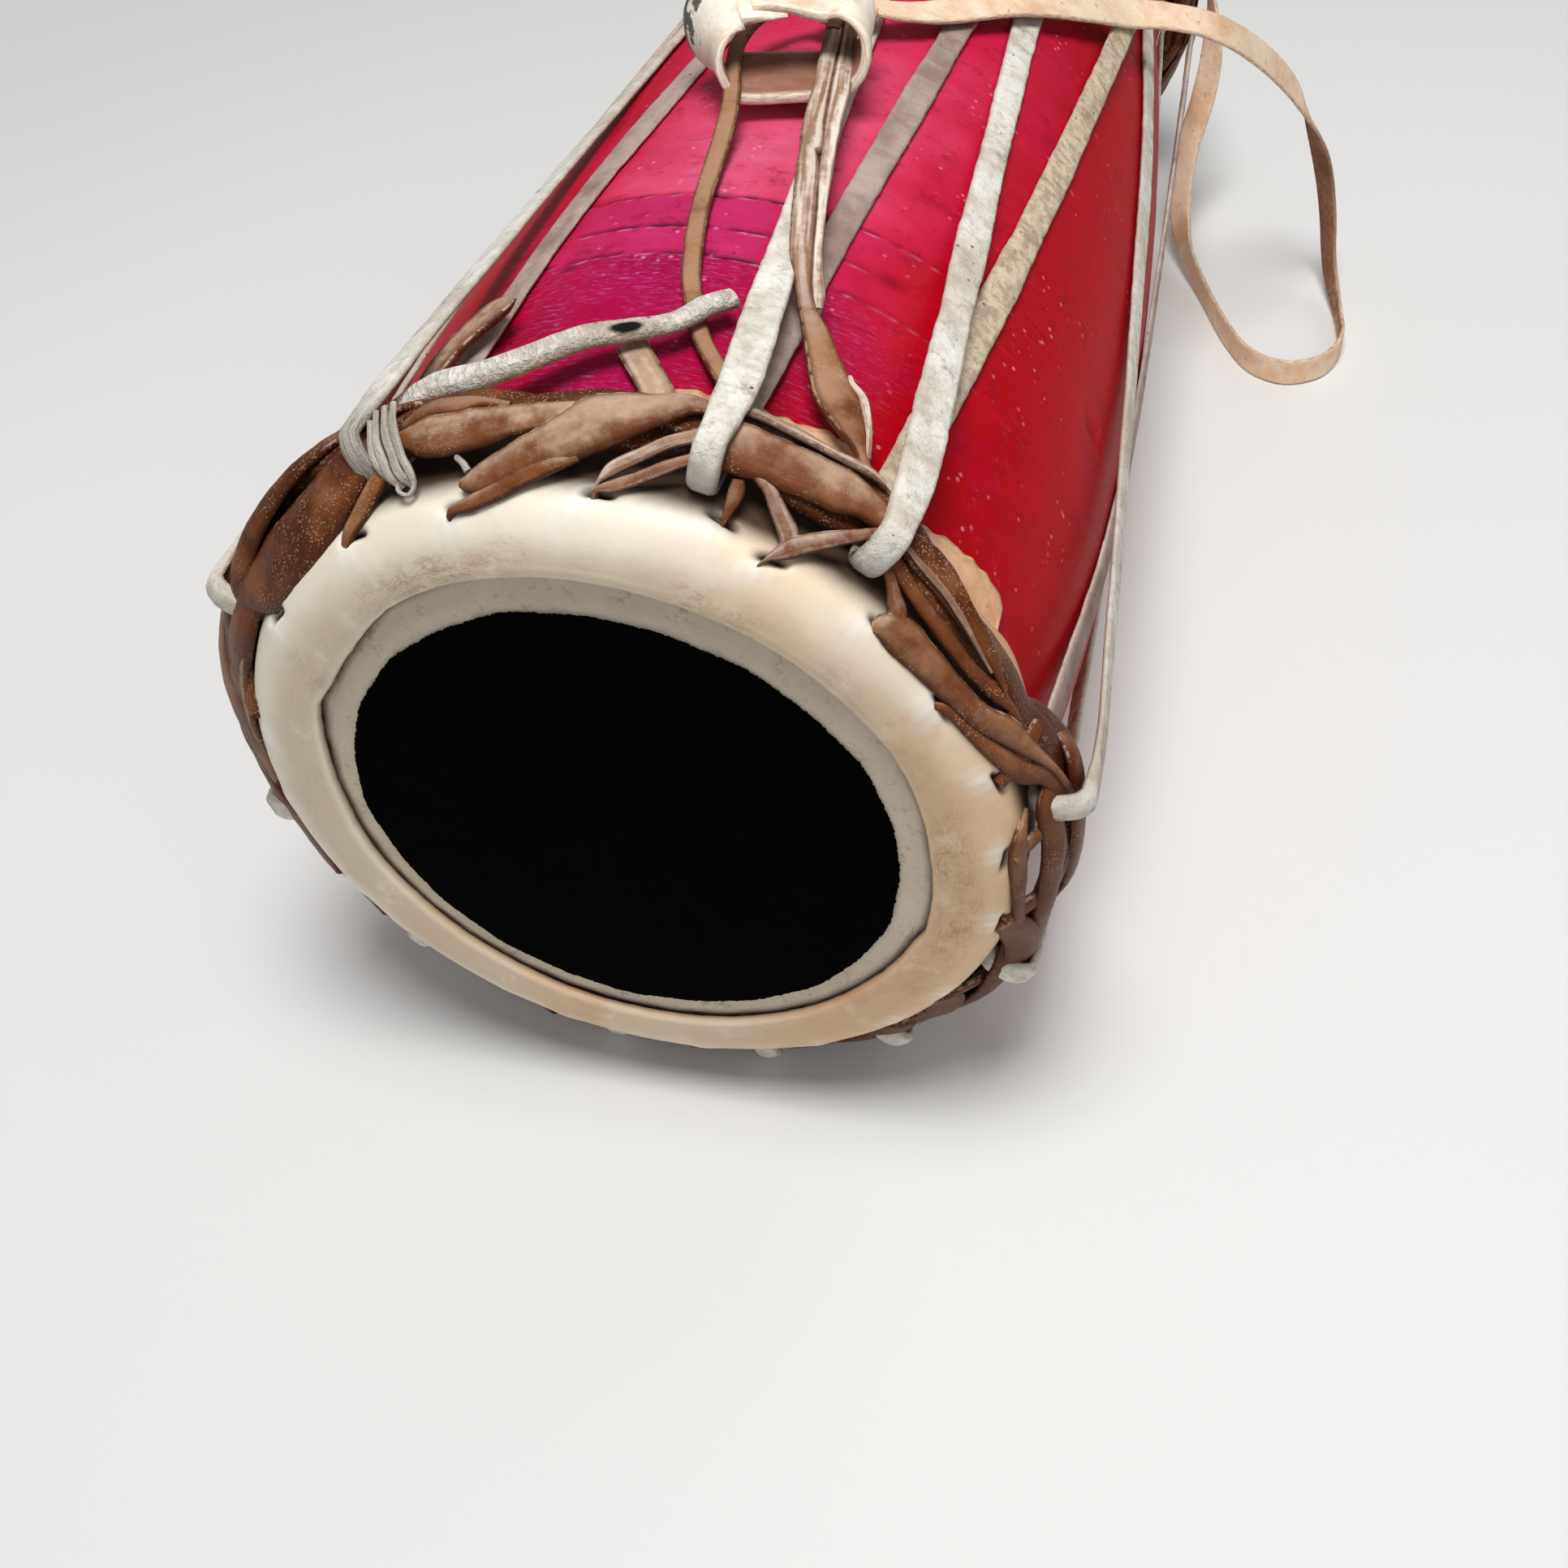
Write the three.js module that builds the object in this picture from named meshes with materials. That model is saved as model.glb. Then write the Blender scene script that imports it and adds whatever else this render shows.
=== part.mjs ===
// A madal: a two-headed barrel drum of turned wood, lying on its side.
// Millimetres, +Z up. The drum's axis runs along +Y from the large head to the small one.
import * as THREE from "three";

// Shell: a barrel whose widest place is nearer the large head
const SHELL_LENGTH = 470;
const SHELL_WALL = 12;
const BELLY_RADIUS = 88.8;
const BELLY_AT = 110;
const EDGE_ROUND = 8;
const BARREL_STEPS = 12;
const ROUND_STEPS = 48;

// Each head: the radii belong to that head, the rest is shared
const LARGE_HEAD = { shellRadius: 82, collarLap: 4, bareRing: 6, hoopTurns: 7, stitches: 16 };
const SMALL_HEAD = { shellRadius: 62.5, collarLap: 2.5, bareRing: 5, hoopTurns: 6, stitches: 12 };
const GAP = 0.3;
const LACE_GAP = 0.5;
const SKIN_THICK = 0.9;
const SKIN_HEM = 34;
const NECK_MARGIN = 2;
const NECK_LENGTH = SKIN_HEM + NECK_MARGIN;
const COLLAR_THICK = 2;
const COLLAR_HEM = 30;
const PASTE_THICK = 1.2;
const PASTE_BEVEL = 0.6;

// Hoop: two flat rawhide strands twisted round each other, and the thong that stitches it to the collar
const HOOP_AT = 21;
const STRAND_HALF_WIDTH = 4.2;
const STRAND_HALF_THICK = 2.1;
const TWIST_CLEARANCE = 0.4;
const STRAND_SIDES = 6;
const STEPS_PER_TURN = 9;
const STITCH_DIP = 1.2;
const STITCH_WIDTH = 4;
const STITCH_THICK = 2.4;
const STEPS_PER_STITCH = 4;

// Tension lace: a flat thong that zigzags between the hoops; angles run clockwise from the top
const LACE_WIDTH = 8.5;
const LACE_THICK = 1.6;
const LACE_TURN_RADIUS = 4;
const LACE_STEPS = 14;
const TAIL_WIDTH = 7;
const LACE_KNOT_RADIUS = 3.5;
const LOOP_ANGLES = [15, 37, 82.5, 119, 146, 168, 192, 225, 255, 296, 331];

// Carrying loop: a brown thong from hoop to hoop through a leather ring
const THONG_WIDTH = 6;
const THONG_THICK = 2.6;
const RING_WIDTH = 40;
const RING_HEIGHT = 20;
const RING_LENGTH = 24;
const RING_WALL = 2.5;
const RING_BEHIND_HOOP = 132;
const RING_OFFSET = -1;
const STRAP_KNOT_RADIUS = 4.5;

// Carrying strap: a free flat thong from the ring's knot to the small head's hoop
const STRAP_WIDTH = 10;
const STRAP_THICK = 1.7;
const STRAP_TIE_ANGLE = 80;

const rawhide = (colour, roughness) =>
  new THREE.MeshStandardMaterial({ color: colour, roughness, metalness: 0 });
const lacquer = new THREE.MeshStandardMaterial({ color: 0xa80f2c, roughness: 0.35, metalness: 0 });
const ivorySkin = rawhide(0xd9c3a0, 0.5);
const greySkin = rawhide(0xb5aa98, 0.85);
const brownThong = rawhide(0x6e4526, 0.5);
const whiteThong = rawhide(0xc9c0ae, 0.8);
const blackPaste = rawhide(0x090909, 0.95);

const deg = THREE.MathUtils.degToRad;
const across = (angle) => new THREE.Vector3(Math.cos(deg(angle)), 0, -Math.sin(deg(angle)));
const outward = (angle) => new THREE.Vector3(Math.sin(deg(angle)), 0, Math.cos(deg(angle)));
const place = (angle, y, radius) => outward(angle).multiplyScalar(radius).setY(y);

// Outer radius of the wood at a place along the axis: a barrel between two straight necks
function shellRadius(y) {
  const towardsLarge = y < BELLY_AT;
  const span = towardsLarge ? BELLY_AT - NECK_LENGTH : SHELL_LENGTH - NECK_LENGTH - BELLY_AT;
  const neckRadius = towardsLarge ? LARGE_HEAD.shellRadius : SMALL_HEAD.shellRadius;
  const share = Math.min(Math.abs(y - BELLY_AT) / span, 1);
  return BELLY_RADIUS - (BELLY_RADIUS - neckRadius) * share ** 2;
}

// Joins rings of points into one closed body, with flat ends or closed on itself
function loft(rings, closed) {
  const sides = rings[0].length;
  const index = [];
  const last = closed ? rings.length : rings.length - 1;
  for (let i = 0; i < last; i++) {
    for (let j = 0; j < sides; j++) {
      const a = i * sides + j;
      const b = i * sides + ((j + 1) % sides);
      const c = ((i + 1) % rings.length) * sides + j;
      const d = ((i + 1) % rings.length) * sides + ((j + 1) % sides);
      index.push(a, b, d, a, d, c);
    }
  }
  if (!closed) {
    const end = (rings.length - 1) * sides;
    for (let j = 1; j < sides - 1; j++) {
      index.push(0, j + 1, j, end, end + j, end + j + 1);
    }
  }
  return new THREE.BufferGeometry().setFromPoints(rings.flat()).setIndex(index);
}

// Rings of a flat thong along a path; sideways[i] is the way its width lies there
function thongRings(path, sideways, width, thick, closed) {
  return path.map((point, i) => {
    const before = path[closed ? (i + path.length - 1) % path.length : Math.max(i - 1, 0)];
    const after = path[closed ? (i + 1) % path.length : Math.min(i + 1, path.length - 1)];
    const along = after.clone().sub(before).normalize();
    const side = sideways[i].clone().addScaledVector(along, -along.dot(sideways[i])).normalize();
    const up = along.clone().cross(side);
    const corner = (s, u) =>
      point.clone().addScaledVector(side, (s * width) / 2).addScaledVector(up, (u * thick) / 2);
    return [corner(1, 1), corner(-1, 1), corner(-1, -1), corner(1, -1)];
  });
}

// Radii of one head's layers, from the wood outwards, and the lace's path round the hoop
function layersOf(head) {
  const skinInner = head.shellRadius + GAP;
  const skinOuter = skinInner + SKIN_THICK;
  const collarInner = skinOuter + GAP;
  const collarOuter = collarInner + COLLAR_THICK;
  const hoopHalfThick = 2 * STRAND_HALF_THICK + TWIST_CLEARANCE;
  const hoopHalfWidth = 2 * STRAND_HALF_WIDTH + TWIST_CLEARANCE;
  const hoopRadius = collarOuter + GAP + LACE_THICK + LACE_GAP + hoopHalfThick;
  const laceOver = hoopRadius + hoopHalfThick + LACE_GAP + LACE_THICK / 2;
  const laceUnder = collarOuter + GAP + LACE_THICK / 2;
  const laceFront = HOOP_AT - hoopHalfWidth - LACE_GAP - LACE_THICK / 2;
  const laceBehind = HOOP_AT + hoopHalfWidth + LACE_GAP + LACE_THICK / 2;
  const collarEdge = head.shellRadius - SHELL_WALL - head.collarLap;
  const pasteRadius = collarEdge - head.bareRing;
  return {
    skinInner, skinOuter, collarInner, collarOuter, hoopHalfThick, hoopHalfWidth, hoopRadius,
    laceOver, laceUnder, laceFront, laceBehind, collarEdge, pasteRadius,
  };
}
const large = layersOf(LARGE_HEAD);
const small = layersOf(SMALL_HEAD);

const part = new THREE.Group();
const drum = new THREE.Group();
part.add(drum);
const smallEnd = new THREE.Group();
smallEnd.position.y = SHELL_LENGTH;
smallEnd.rotation.z = Math.PI;
drum.add(smallEnd);

function add(parent, name, geometry, material) {
  const mesh = new THREE.Mesh(geometry, material);
  mesh.name = name;
  parent.add(mesh);
  return mesh;
}

// The rounded rim of a head, moved out from the wood: a quarter ellipse from its front to its side
function rimArc(head, offset) {
  const frontOfWood = SKIN_THICK + GAP;
  const centre = new THREE.Vector2(head.shellRadius - SHELL_WALL, frontOfWood + EDGE_ROUND);
  const steps = [0, 1, 2, 3];
  return steps.map((i) => {
    const turn = (Math.PI / 2) * (i / (steps.length - 1));
    return new THREE.Vector2(
      centre.x + (SHELL_WALL + offset) * Math.sin(turn),
      centre.y - (EDGE_ROUND + offset) * Math.cos(turn),
    );
  });
}

function lathe(profile) {
  return new THREE.LatheGeometry(profile, ROUND_STEPS);
}

// Shell: outer barrel from rim to rim, then back along the bore
function shellProfile() {
  const along = [];
  for (let i = 0; i <= BARREL_STEPS; i++) {
    along.push(THREE.MathUtils.lerp(NECK_LENGTH, SHELL_LENGTH - NECK_LENGTH, i / BARREL_STEPS));
  }
  const outer = along.map((y) => new THREE.Vector2(shellRadius(y), y));
  const farRim = rimArc(SMALL_HEAD, 0).map((p) => new THREE.Vector2(p.x, SHELL_LENGTH - p.y)).reverse();
  const bore = along.map((y) => new THREE.Vector2(shellRadius(y) - SHELL_WALL, y));
  const profile = [...rimArc(LARGE_HEAD, 0), ...outer, ...farRim, ...bore.reverse()];
  return [...profile, profile[0].clone()];
}
add(drum, "wooden_shell", lathe(shellProfile()), lacquer);

// Head skin: the beaten membrane, turned over the rim and down the side of the shell
function skinProfile(head, layers) {
  const inside = rimArc(head, GAP);
  const outside = rimArc(head, GAP + SKIN_THICK);
  return [
    new THREE.Vector2(0, outside[0].y),
    ...outside,
    new THREE.Vector2(layers.skinOuter, SKIN_HEM),
    new THREE.Vector2(layers.skinInner, SKIN_HEM),
    ...inside.reverse(),
    new THREE.Vector2(0, inside[inside.length - 1].y),
  ];
}

// Collar skin: a ring over the membrane's edge, with a flat front and a skirt
function collarProfile(head, layers) {
  const inside = rimArc(head, 2 * GAP + SKIN_THICK);
  const outside = rimArc(head, 2 * GAP + SKIN_THICK + COLLAR_THICK);
  const profile = [
    new THREE.Vector2(layers.collarEdge, outside[0].y),
    ...outside,
    new THREE.Vector2(layers.collarOuter, COLLAR_HEM),
    new THREE.Vector2(layers.collarInner, COLLAR_HEM),
    ...inside.reverse(),
    new THREE.Vector2(layers.collarEdge, inside[inside.length - 1].y),
  ];
  return [...profile, profile[0].clone()];
}

// Tuning paste: a low black disc on the membrane's front
function pasteProfile(head, layers) {
  const back = rimArc(head, GAP + SKIN_THICK)[0].y - GAP;
  const front = back - PASTE_THICK;
  return [
    new THREE.Vector2(0, front),
    new THREE.Vector2(layers.pasteRadius - PASTE_BEVEL, front),
    new THREE.Vector2(layers.pasteRadius, front + PASTE_BEVEL),
    new THREE.Vector2(layers.pasteRadius, back),
    new THREE.Vector2(0, back),
  ];
}

// One strand of the hoop: a closed ring that winds about the hoop's middle line
function hoopStrand(head, layers, startTurn) {
  const sway = STRAND_HALF_WIDTH + TWIST_CLEARANCE;
  const lift = STRAND_HALF_THICK + TWIST_CLEARANCE;
  const count = head.hoopTurns * STEPS_PER_TURN;
  const rings = Array.from({ length: count }, (_, i) => {
    const angle = (360 * i) / count;
    const turn = 2 * Math.PI * ((head.hoopTurns * i) / count + startTurn);
    return Array.from({ length: STRAND_SIDES }, (_, j) => {
      const side = (2 * Math.PI * j) / STRAND_SIDES;
      const y = HOOP_AT + sway * Math.cos(turn) + STRAND_HALF_WIDTH * Math.cos(side);
      const radius = layers.hoopRadius + lift * Math.sin(turn) + STRAND_HALF_THICK * Math.sin(side);
      return place(angle, y, radius);
    });
  });
  return loft(rings, true);
}

// The stitching thong: it dips to the slits in the collar and comes back to the hoop
function hoopStitching(head, layers) {
  const radius = layers.collarOuter + GAP + STITCH_THICK / 2;
  const middle = layers.laceFront - LACE_THICK / 2 - GAP - STITCH_DIP - STITCH_WIDTH / 2;
  const count = head.stitches * STEPS_PER_STITCH;
  const path = [];
  const sideways = [];
  for (let i = 0; i < count; i++) {
    const dip = STITCH_DIP * Math.cos((2 * Math.PI * i) / STEPS_PER_STITCH);
    path.push(place((360 * i) / count, middle - dip, radius));
    sideways.push(new THREE.Vector3(0, 1, 0));
  }
  return loft(thongRings(path, sideways, STITCH_WIDTH, STITCH_THICK, true), true);
}

function addHead(parent, prefix, head, layers) {
  add(parent, prefix + "_head_skin", lathe(skinProfile(head, layers)), greySkin);
  add(parent, prefix + "_collar_skin", lathe(collarProfile(head, layers)), ivorySkin);
  add(parent, prefix + "_tuning_paste", lathe(pasteProfile(head, layers)), blackPaste);
  add(parent, prefix + "_hoop_strand_a", hoopStrand(head, layers, 0), brownThong);
  add(parent, prefix + "_hoop_strand_b", hoopStrand(head, layers, 0.5), brownThong);
  add(parent, prefix + "_hoop_stitching", hoopStitching(head, layers), brownThong);
}
addHead(drum, "large", LARGE_HEAD, large);
addHead(smallEnd, "small", SMALL_HEAD, small);

// A taut thong over the barrel between two places: it follows the upper hull of the wood and both ends
function tautLine(start, end, clearance) {
  const points = [start];
  for (let i = 1; i < LACE_STEPS; i++) {
    const y = start.x + ((end.x - start.x) * i) / LACE_STEPS;
    points.push(new THREE.Vector2(y, shellRadius(y) + clearance));
  }
  points.push(end);
  const hull = [];
  for (const p of points) {
    while (hull.length > 1) {
      const [a, b] = hull.slice(-2);
      const bend = (b.x - a.x) * (p.y - a.y) - (b.y - a.y) * (p.x - a.x);
      if (bend < 0) break;
      hull.pop();
    }
    hull.push(p);
  }
  return points.map((p) => new THREE.Vector2(p.x, heightOn(hull, p.x)));
}

// Height of a line of (along, height) points at a place along it
function heightOn(line, at) {
  const next = Math.max(1, line.findIndex((p) => p.x >= at));
  const [a, b] = [line[next - 1], line[next]];
  return THREE.MathUtils.mapLinear(at, a.x, b.x, a.y, b.y);
}

// The lace's turn round a hoop, in (axial, radial) pairs measured from that head's own face
function hoopTurn(layers) {
  const { laceOver, laceUnder, laceFront, laceBehind } = layers;
  const bend = LACE_TURN_RADIUS;
  const cut = bend * (1 - Math.SQRT1_2);
  return [
    [laceBehind, laceOver],
    [laceFront + bend, laceOver],
    [laceFront + cut, laceOver - cut],
    [laceFront, laceOver - bend],
    [laceFront, laceUnder + bend],
    [laceFront + cut, laceUnder + cut],
    [laceFront + bend, laceUnder],
    [laceBehind, laceUnder],
  ].map(([y, r]) => new THREE.Vector2(y, r));
}

// One length of lace: from under the small hoop, over and round the large hoop, and back round the small one
function laceLength(loopAngle, fromAngle, toAngle) {
  const clearance = GAP + LACE_THICK / 2;
  const largeTurn = hoopTurn(large);
  const smallTurn = hoopTurn(small).map((p) => new THREE.Vector2(SHELL_LENGTH - p.x, p.y));
  const overLarge = largeTurn[0];
  const underLarge = largeTurn[largeTurn.length - 1];
  const overSmall = smallTurn[0];
  const underSmall = smallTurn[smallTurn.length - 1];
  const outerStrand = tautLine(overLarge, underSmall, clearance).reverse();
  const innerStrand = tautLine(underLarge, overSmall, clearance);
  const stations = [];
  const slide = (p, angle) => {
    const share = THREE.MathUtils.mapLinear(p.x, overLarge.x, overSmall.x, 0, 1);
    return THREE.MathUtils.lerp(loopAngle, angle, share);
  };
  const lapEnd = underSmall.x + LACE_WIDTH / 2;
  stations.push([fromAngle, lapEnd, underSmall.y]);
  outerStrand.forEach((p) => stations.push([slide(p, fromAngle), p.x, p.y]));
  largeTurn.slice(1, -1).forEach((p) => stations.push([loopAngle, p.x, p.y]));
  innerStrand.forEach((p) => stations.push([slide(p, toAngle), p.x, p.y]));
  smallTurn.slice(1, -2).forEach((p) => stations.push([toAngle, p.x, p.y]));
  stations.push([toAngle, lapEnd + GAP, underSmall.y]);
  const path = stations.map(([angle, y, r]) => place(angle, y, r));
  const sideways = stations.map(([angle]) => across(angle));
  return loft(thongRings(path, sideways, LACE_WIDTH, LACE_THICK, false), false);
}
const loopCount = LOOP_ANGLES.length;
const farAngles = LOOP_ANGLES.map((angle, i) => {
  const next = i + 1 < loopCount ? LOOP_ANGLES[i + 1] : LOOP_ANGLES[0] + 360;
  return (angle + next) / 2;
});
LOOP_ANGLES.forEach((angle, i) => {
  const from = i > 0 ? farAngles[i - 1] : farAngles[loopCount - 1] - 360;
  const name = "tension_lace_" + String(i + 1).padStart(2, "0");
  add(drum, name, laceLength(angle, from, farAngles[i]), whiteThong);
});

// Heights that a thong on the drum is measured from: the wood, or the top of the lace over the large hoop
const wood = shellRadius;
const outerLace = tautLine(
  new THREE.Vector2(large.laceBehind, large.laceOver),
  new THREE.Vector2(SHELL_LENGTH - small.laceBehind, small.laceUnder),
  GAP + LACE_THICK / 2,
);
const lace = (y) => heightOn(outerLace, y) + LACE_THICK / 2;

// A smooth thong through places given as [angle, distance behind the large hoop, lift, above what]
const hoopBack = HOOP_AT + large.hoopHalfWidth;
function thongOverDrum(places, steps, width, thick) {
  const points = places.map(([angle, behind, lift, bed]) => {
    const y = hoopBack + behind;
    return place(angle, y, bed(y) + lift);
  });
  const path = new THREE.CatmullRomCurve3(points).getPoints(steps);
  const sideways = path.map((point, i) => {
    const ahead = path[Math.min(i + 1, steps)].clone().sub(path[Math.max(i - 1, 0)]);
    const away = new THREE.Vector3(point.x, 0, point.z).normalize();
    return ahead.cross(away).normalize();
  });
  return loft(thongRings(path, sideways, width, thick, false), false);
}

// Carrying loop: both feet come out from under the hoop; the legs run up through the ring to a bight
const BIGHT = [-1, 161, 7.1, lace];
const CARRYING_LOOP = [
  [10.5, 2.6, 7, wood], [6.5, 20, 3.4, wood], [2, 40, 1.9, wood], [-2, 65, 1.9, wood], [-5, 91, 2.6, wood],
  [-6.3, 110, 3.6, lace], [-6.3, 124, 7, lace], [-6.3, 142, 7.1, lace], [-5.6, 153, 7.1, lace], BIGHT,
  [3.8, 153, 7.1, lace], [5.2, 142, 7.1, lace], [5.8, 124, 7, lace], [7.2, 106, 5.4, lace],
  [9.8, 88, 3.5, lace], [12.5, 72, 2.9, lace], [15.7, 58, 2.4, lace],
  [18, 48, 9, wood], [23, 25, 7.8, wood], [29, 8, 7.4, wood], [30.5, 2.6, 7, wood],
];
const LOOP_STEPS = 54;
add(drum, "carrying_loop", thongOverDrum(CARRYING_LOOP, LOOP_STEPS, THONG_WIDTH, THONG_THICK), brownThong);

// Ring: a flattened leather band round both legs, seated on the lace below it
const ringAt = hoopBack + RING_BEHIND_HOOP;
const ringSeat = lace(ringAt - RING_LENGTH / 2) + GAP;
const RING_SEGMENTS = 8;
function stadium(width, height) {
  const end = height / 2;
  const straight = width / 2 - end;
  const shape = new THREE.Shape();
  shape.absarc(straight, 0, end, -Math.PI / 2, Math.PI / 2, false);
  shape.absarc(-straight, 0, end, Math.PI / 2, (3 * Math.PI) / 2, false);
  return shape;
}
const ringShape = stadium(RING_WIDTH, RING_HEIGHT);
ringShape.holes.push(stadium(RING_WIDTH - 2 * RING_WALL, RING_HEIGHT - 2 * RING_WALL));
const ringGeometry = new THREE.ExtrudeGeometry(ringShape, {
  depth: RING_LENGTH, bevelEnabled: false, curveSegments: RING_SEGMENTS,
});
const ring = add(drum, "strap_ring", ringGeometry, ivorySkin);
ring.rotation.x = Math.PI / 2;
ring.position.set(RING_OFFSET, ringAt + RING_LENGTH / 2, ringSeat + RING_HEIGHT / 2);

// Knots: the strap's end behind the bight, and the lace's own knot in front of its last loop
const KNOT_FLATTEN = new THREE.Vector3(1, 0.9, 0.8);
const KNOT_DETAIL = 2;
function addKnot(name, angle, y, radialPlace, radius, material) {
  const mesh = add(drum, name, new THREE.IcosahedronGeometry(radius, KNOT_DETAIL), material);
  mesh.position.copy(place(angle, y, radialPlace));
  mesh.scale.copy(KNOT_FLATTEN);
}
const [bightAngle, bightBehind, bightLift] = BIGHT;
const bightAt = hoopBack + bightBehind;
const strapKnotAt = bightAt + THONG_WIDTH / 2 + GAP + KNOT_FLATTEN.y * STRAP_KNOT_RADIUS;
addKnot("strap_near_knot", bightAngle, strapKnotAt, lace(bightAt) + bightLift, STRAP_KNOT_RADIUS, ivorySkin);
const lastLoop = LOOP_ANGLES[loopCount - 1];
const laceKnotAt = large.laceFront - LACE_THICK / 2 - GAP - KNOT_FLATTEN.y * LACE_KNOT_RADIUS;
addKnot("lace_knot", lastLoop, laceKnotAt, large.hoopRadius, LACE_KNOT_RADIUS, whiteThong);

// Lace tail: the loose end of the lace, lying across the shell beside its knot
const LACE_TAIL = [
  [-24.5, 4, 10.3, wood], [-19, 6, 9.5, wood], [-13, 10, 8, wood], [-7, 15, 6.5, wood],
  [-2, 19, 5.2, wood], [1.5, 22, 4.6, wood],
];
const TAIL_STEPS = 12;
add(drum, "lace_tail", thongOverDrum(LACE_TAIL, TAIL_STEPS, TAIL_WIDTH, LACE_THICK), whiteThong);

// Tie: a closed turn of thong round the small hoop, which holds the strap's far end
function hoopBand(layers, angle, width, thick) {
  const turn = hoopTurn(layers).slice(1, -1);
  const backOf = (p) => new THREE.Vector2(layers.laceFront + layers.laceBehind - p.x, p.y);
  const section = [...turn, ...turn.map(backOf).reverse()];
  const path = section.map((p) => place(angle, SHELL_LENGTH - p.x, p.y));
  return loft(thongRings(path, path.map(() => across(angle)), width, thick, true), true);
}
add(drum, "strap_far_tie", hoopBand(small, STRAP_TIE_ANGLE, STRAP_WIDTH, LACE_THICK), ivorySkin);

// Rest: the drum lies on its lowest laces, so its axis tips until both ends touch the ground
function lowestPoint(keep, slope) {
  const lowest = new THREE.Vector3();
  const point = new THREE.Vector3();
  let least = Infinity;
  for (const mesh of drum.children) {
    if (!mesh.isMesh) continue;
    const positions = mesh.geometry.getAttribute("position");
    for (let i = 0; i < positions.count; i++) {
      point.fromBufferAttribute(positions, i);
      const height = point.z - slope * point.y;
      if (keep(point.y) && height < least) {
        least = height;
        lowest.copy(point);
      }
    }
  }
  return lowest;
}
const REST_ROUNDS = 4;
let slope = 0;
for (let i = 0; i < REST_ROUNDS; i++) {
  const lowLarge = lowestPoint((y) => y < NECK_LENGTH, slope);
  const lowSmall = lowestPoint((y) => y > SHELL_LENGTH - NECK_LENGTH, slope);
  slope = (lowSmall.z - lowLarge.z) / (lowSmall.y - lowLarge.y);
}
drum.rotation.x = -Math.atan(slope);
const box = new THREE.Box3().setFromObject(drum, true);
const middle = box.getCenter(new THREE.Vector3());
drum.position.set(-middle.x, -middle.y, -box.min.z);

// Carrying strap: over the laces, down in a loop on the ground, and up to the tie; [place, way it faces]
const STRAP_ROUTE = [
  [[4.2, -31.5, 187], [0.1, 0.05, 1]], [[12, -27, 183], [0.14, 0.05, 0.99]],
  [[24, -14, 177], [0.28, 0.05, 0.96]], [[39.5, 12, 168.5], [0.45, 0.05, 0.89]],
  [[53.5, 38, 156.5], [0.62, 0.05, 0.79]], [[65.5, 66, 142.5], [0.77, 0.05, 0.64]],
  [[77, 78, 137], [0.8, 0, 0.6]], [[92.5, 89, 129], [0.85, -0.1, 0.5]],
  [[107, 113, 109], [0.9, -0.15, 0.35]], [[120, 137, 84], [0.94, -0.2, 0.27]],
  [[130, 151, 57], [0.96, -0.15, 0.2]], [[136, 156, 32], [0.98, -0.1, 0.1]],
  [[140, 146, 12], [0.96, 0.2, 0]], [[145.5, 123, 5.6], [1, 0.05, 0]],
  [[147, 105, 5.4], [0.99, -0.15, 0]], [[141, 90.5, 5.4], [0.72, -0.69, 0]],
  [[128, 84, 5.4], [0.05, -1, 0]], [[115, 89.5, 5.4], [-0.65, -0.75, 0]],
  [[105, 105, 5.4], [-0.89, -0.45, 0]], [[95, 128, 5.6], [-0.92, -0.4, 0]],
  [[85, 150, 10], [-0.93, -0.35, 0.1]], [[80, 167, 21], [-0.98, -0.1, 0.1]],
  [[80.5, 182, 36], [-0.97, 0.15, 0.1]], [[84, 190, 52], [-0.97, 0.1, 0.2]],
  [[85.5, 196, 67], [-0.98, 0, 0.1]], [[83.5, 206, 81], [-0.98, 0, -0.1]],
  [[80.2, 212.5, 89], [-0.98, 0, -0.17]], [[78.7, 214.8, 95], [-0.98, 0, -0.17]],
];
const STRAP_STEPS = 60;
function strapGeometry() {
  const curve = (which) =>
    new THREE.CatmullRomCurve3(STRAP_ROUTE.map((row) => new THREE.Vector3(...row[which])));
  const path = curve(0).getPoints(STRAP_STEPS);
  const faces = curve(1).getPoints(STRAP_STEPS);
  const sideways = path.map((_, i) => {
    const along = path[Math.min(i + 1, STRAP_STEPS)].clone().sub(path[Math.max(i - 1, 0)]);
    return faces[i].clone().cross(along).normalize();
  });
  return loft(thongRings(path, sideways, STRAP_WIDTH, STRAP_THICK, false), false);
}
add(part, "carrying_strap", strapGeometry(), ivorySkin);

export default part;
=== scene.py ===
import math
import random

import bmesh
import bpy
import numpy as np
from mathutils import Matrix, Vector


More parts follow.
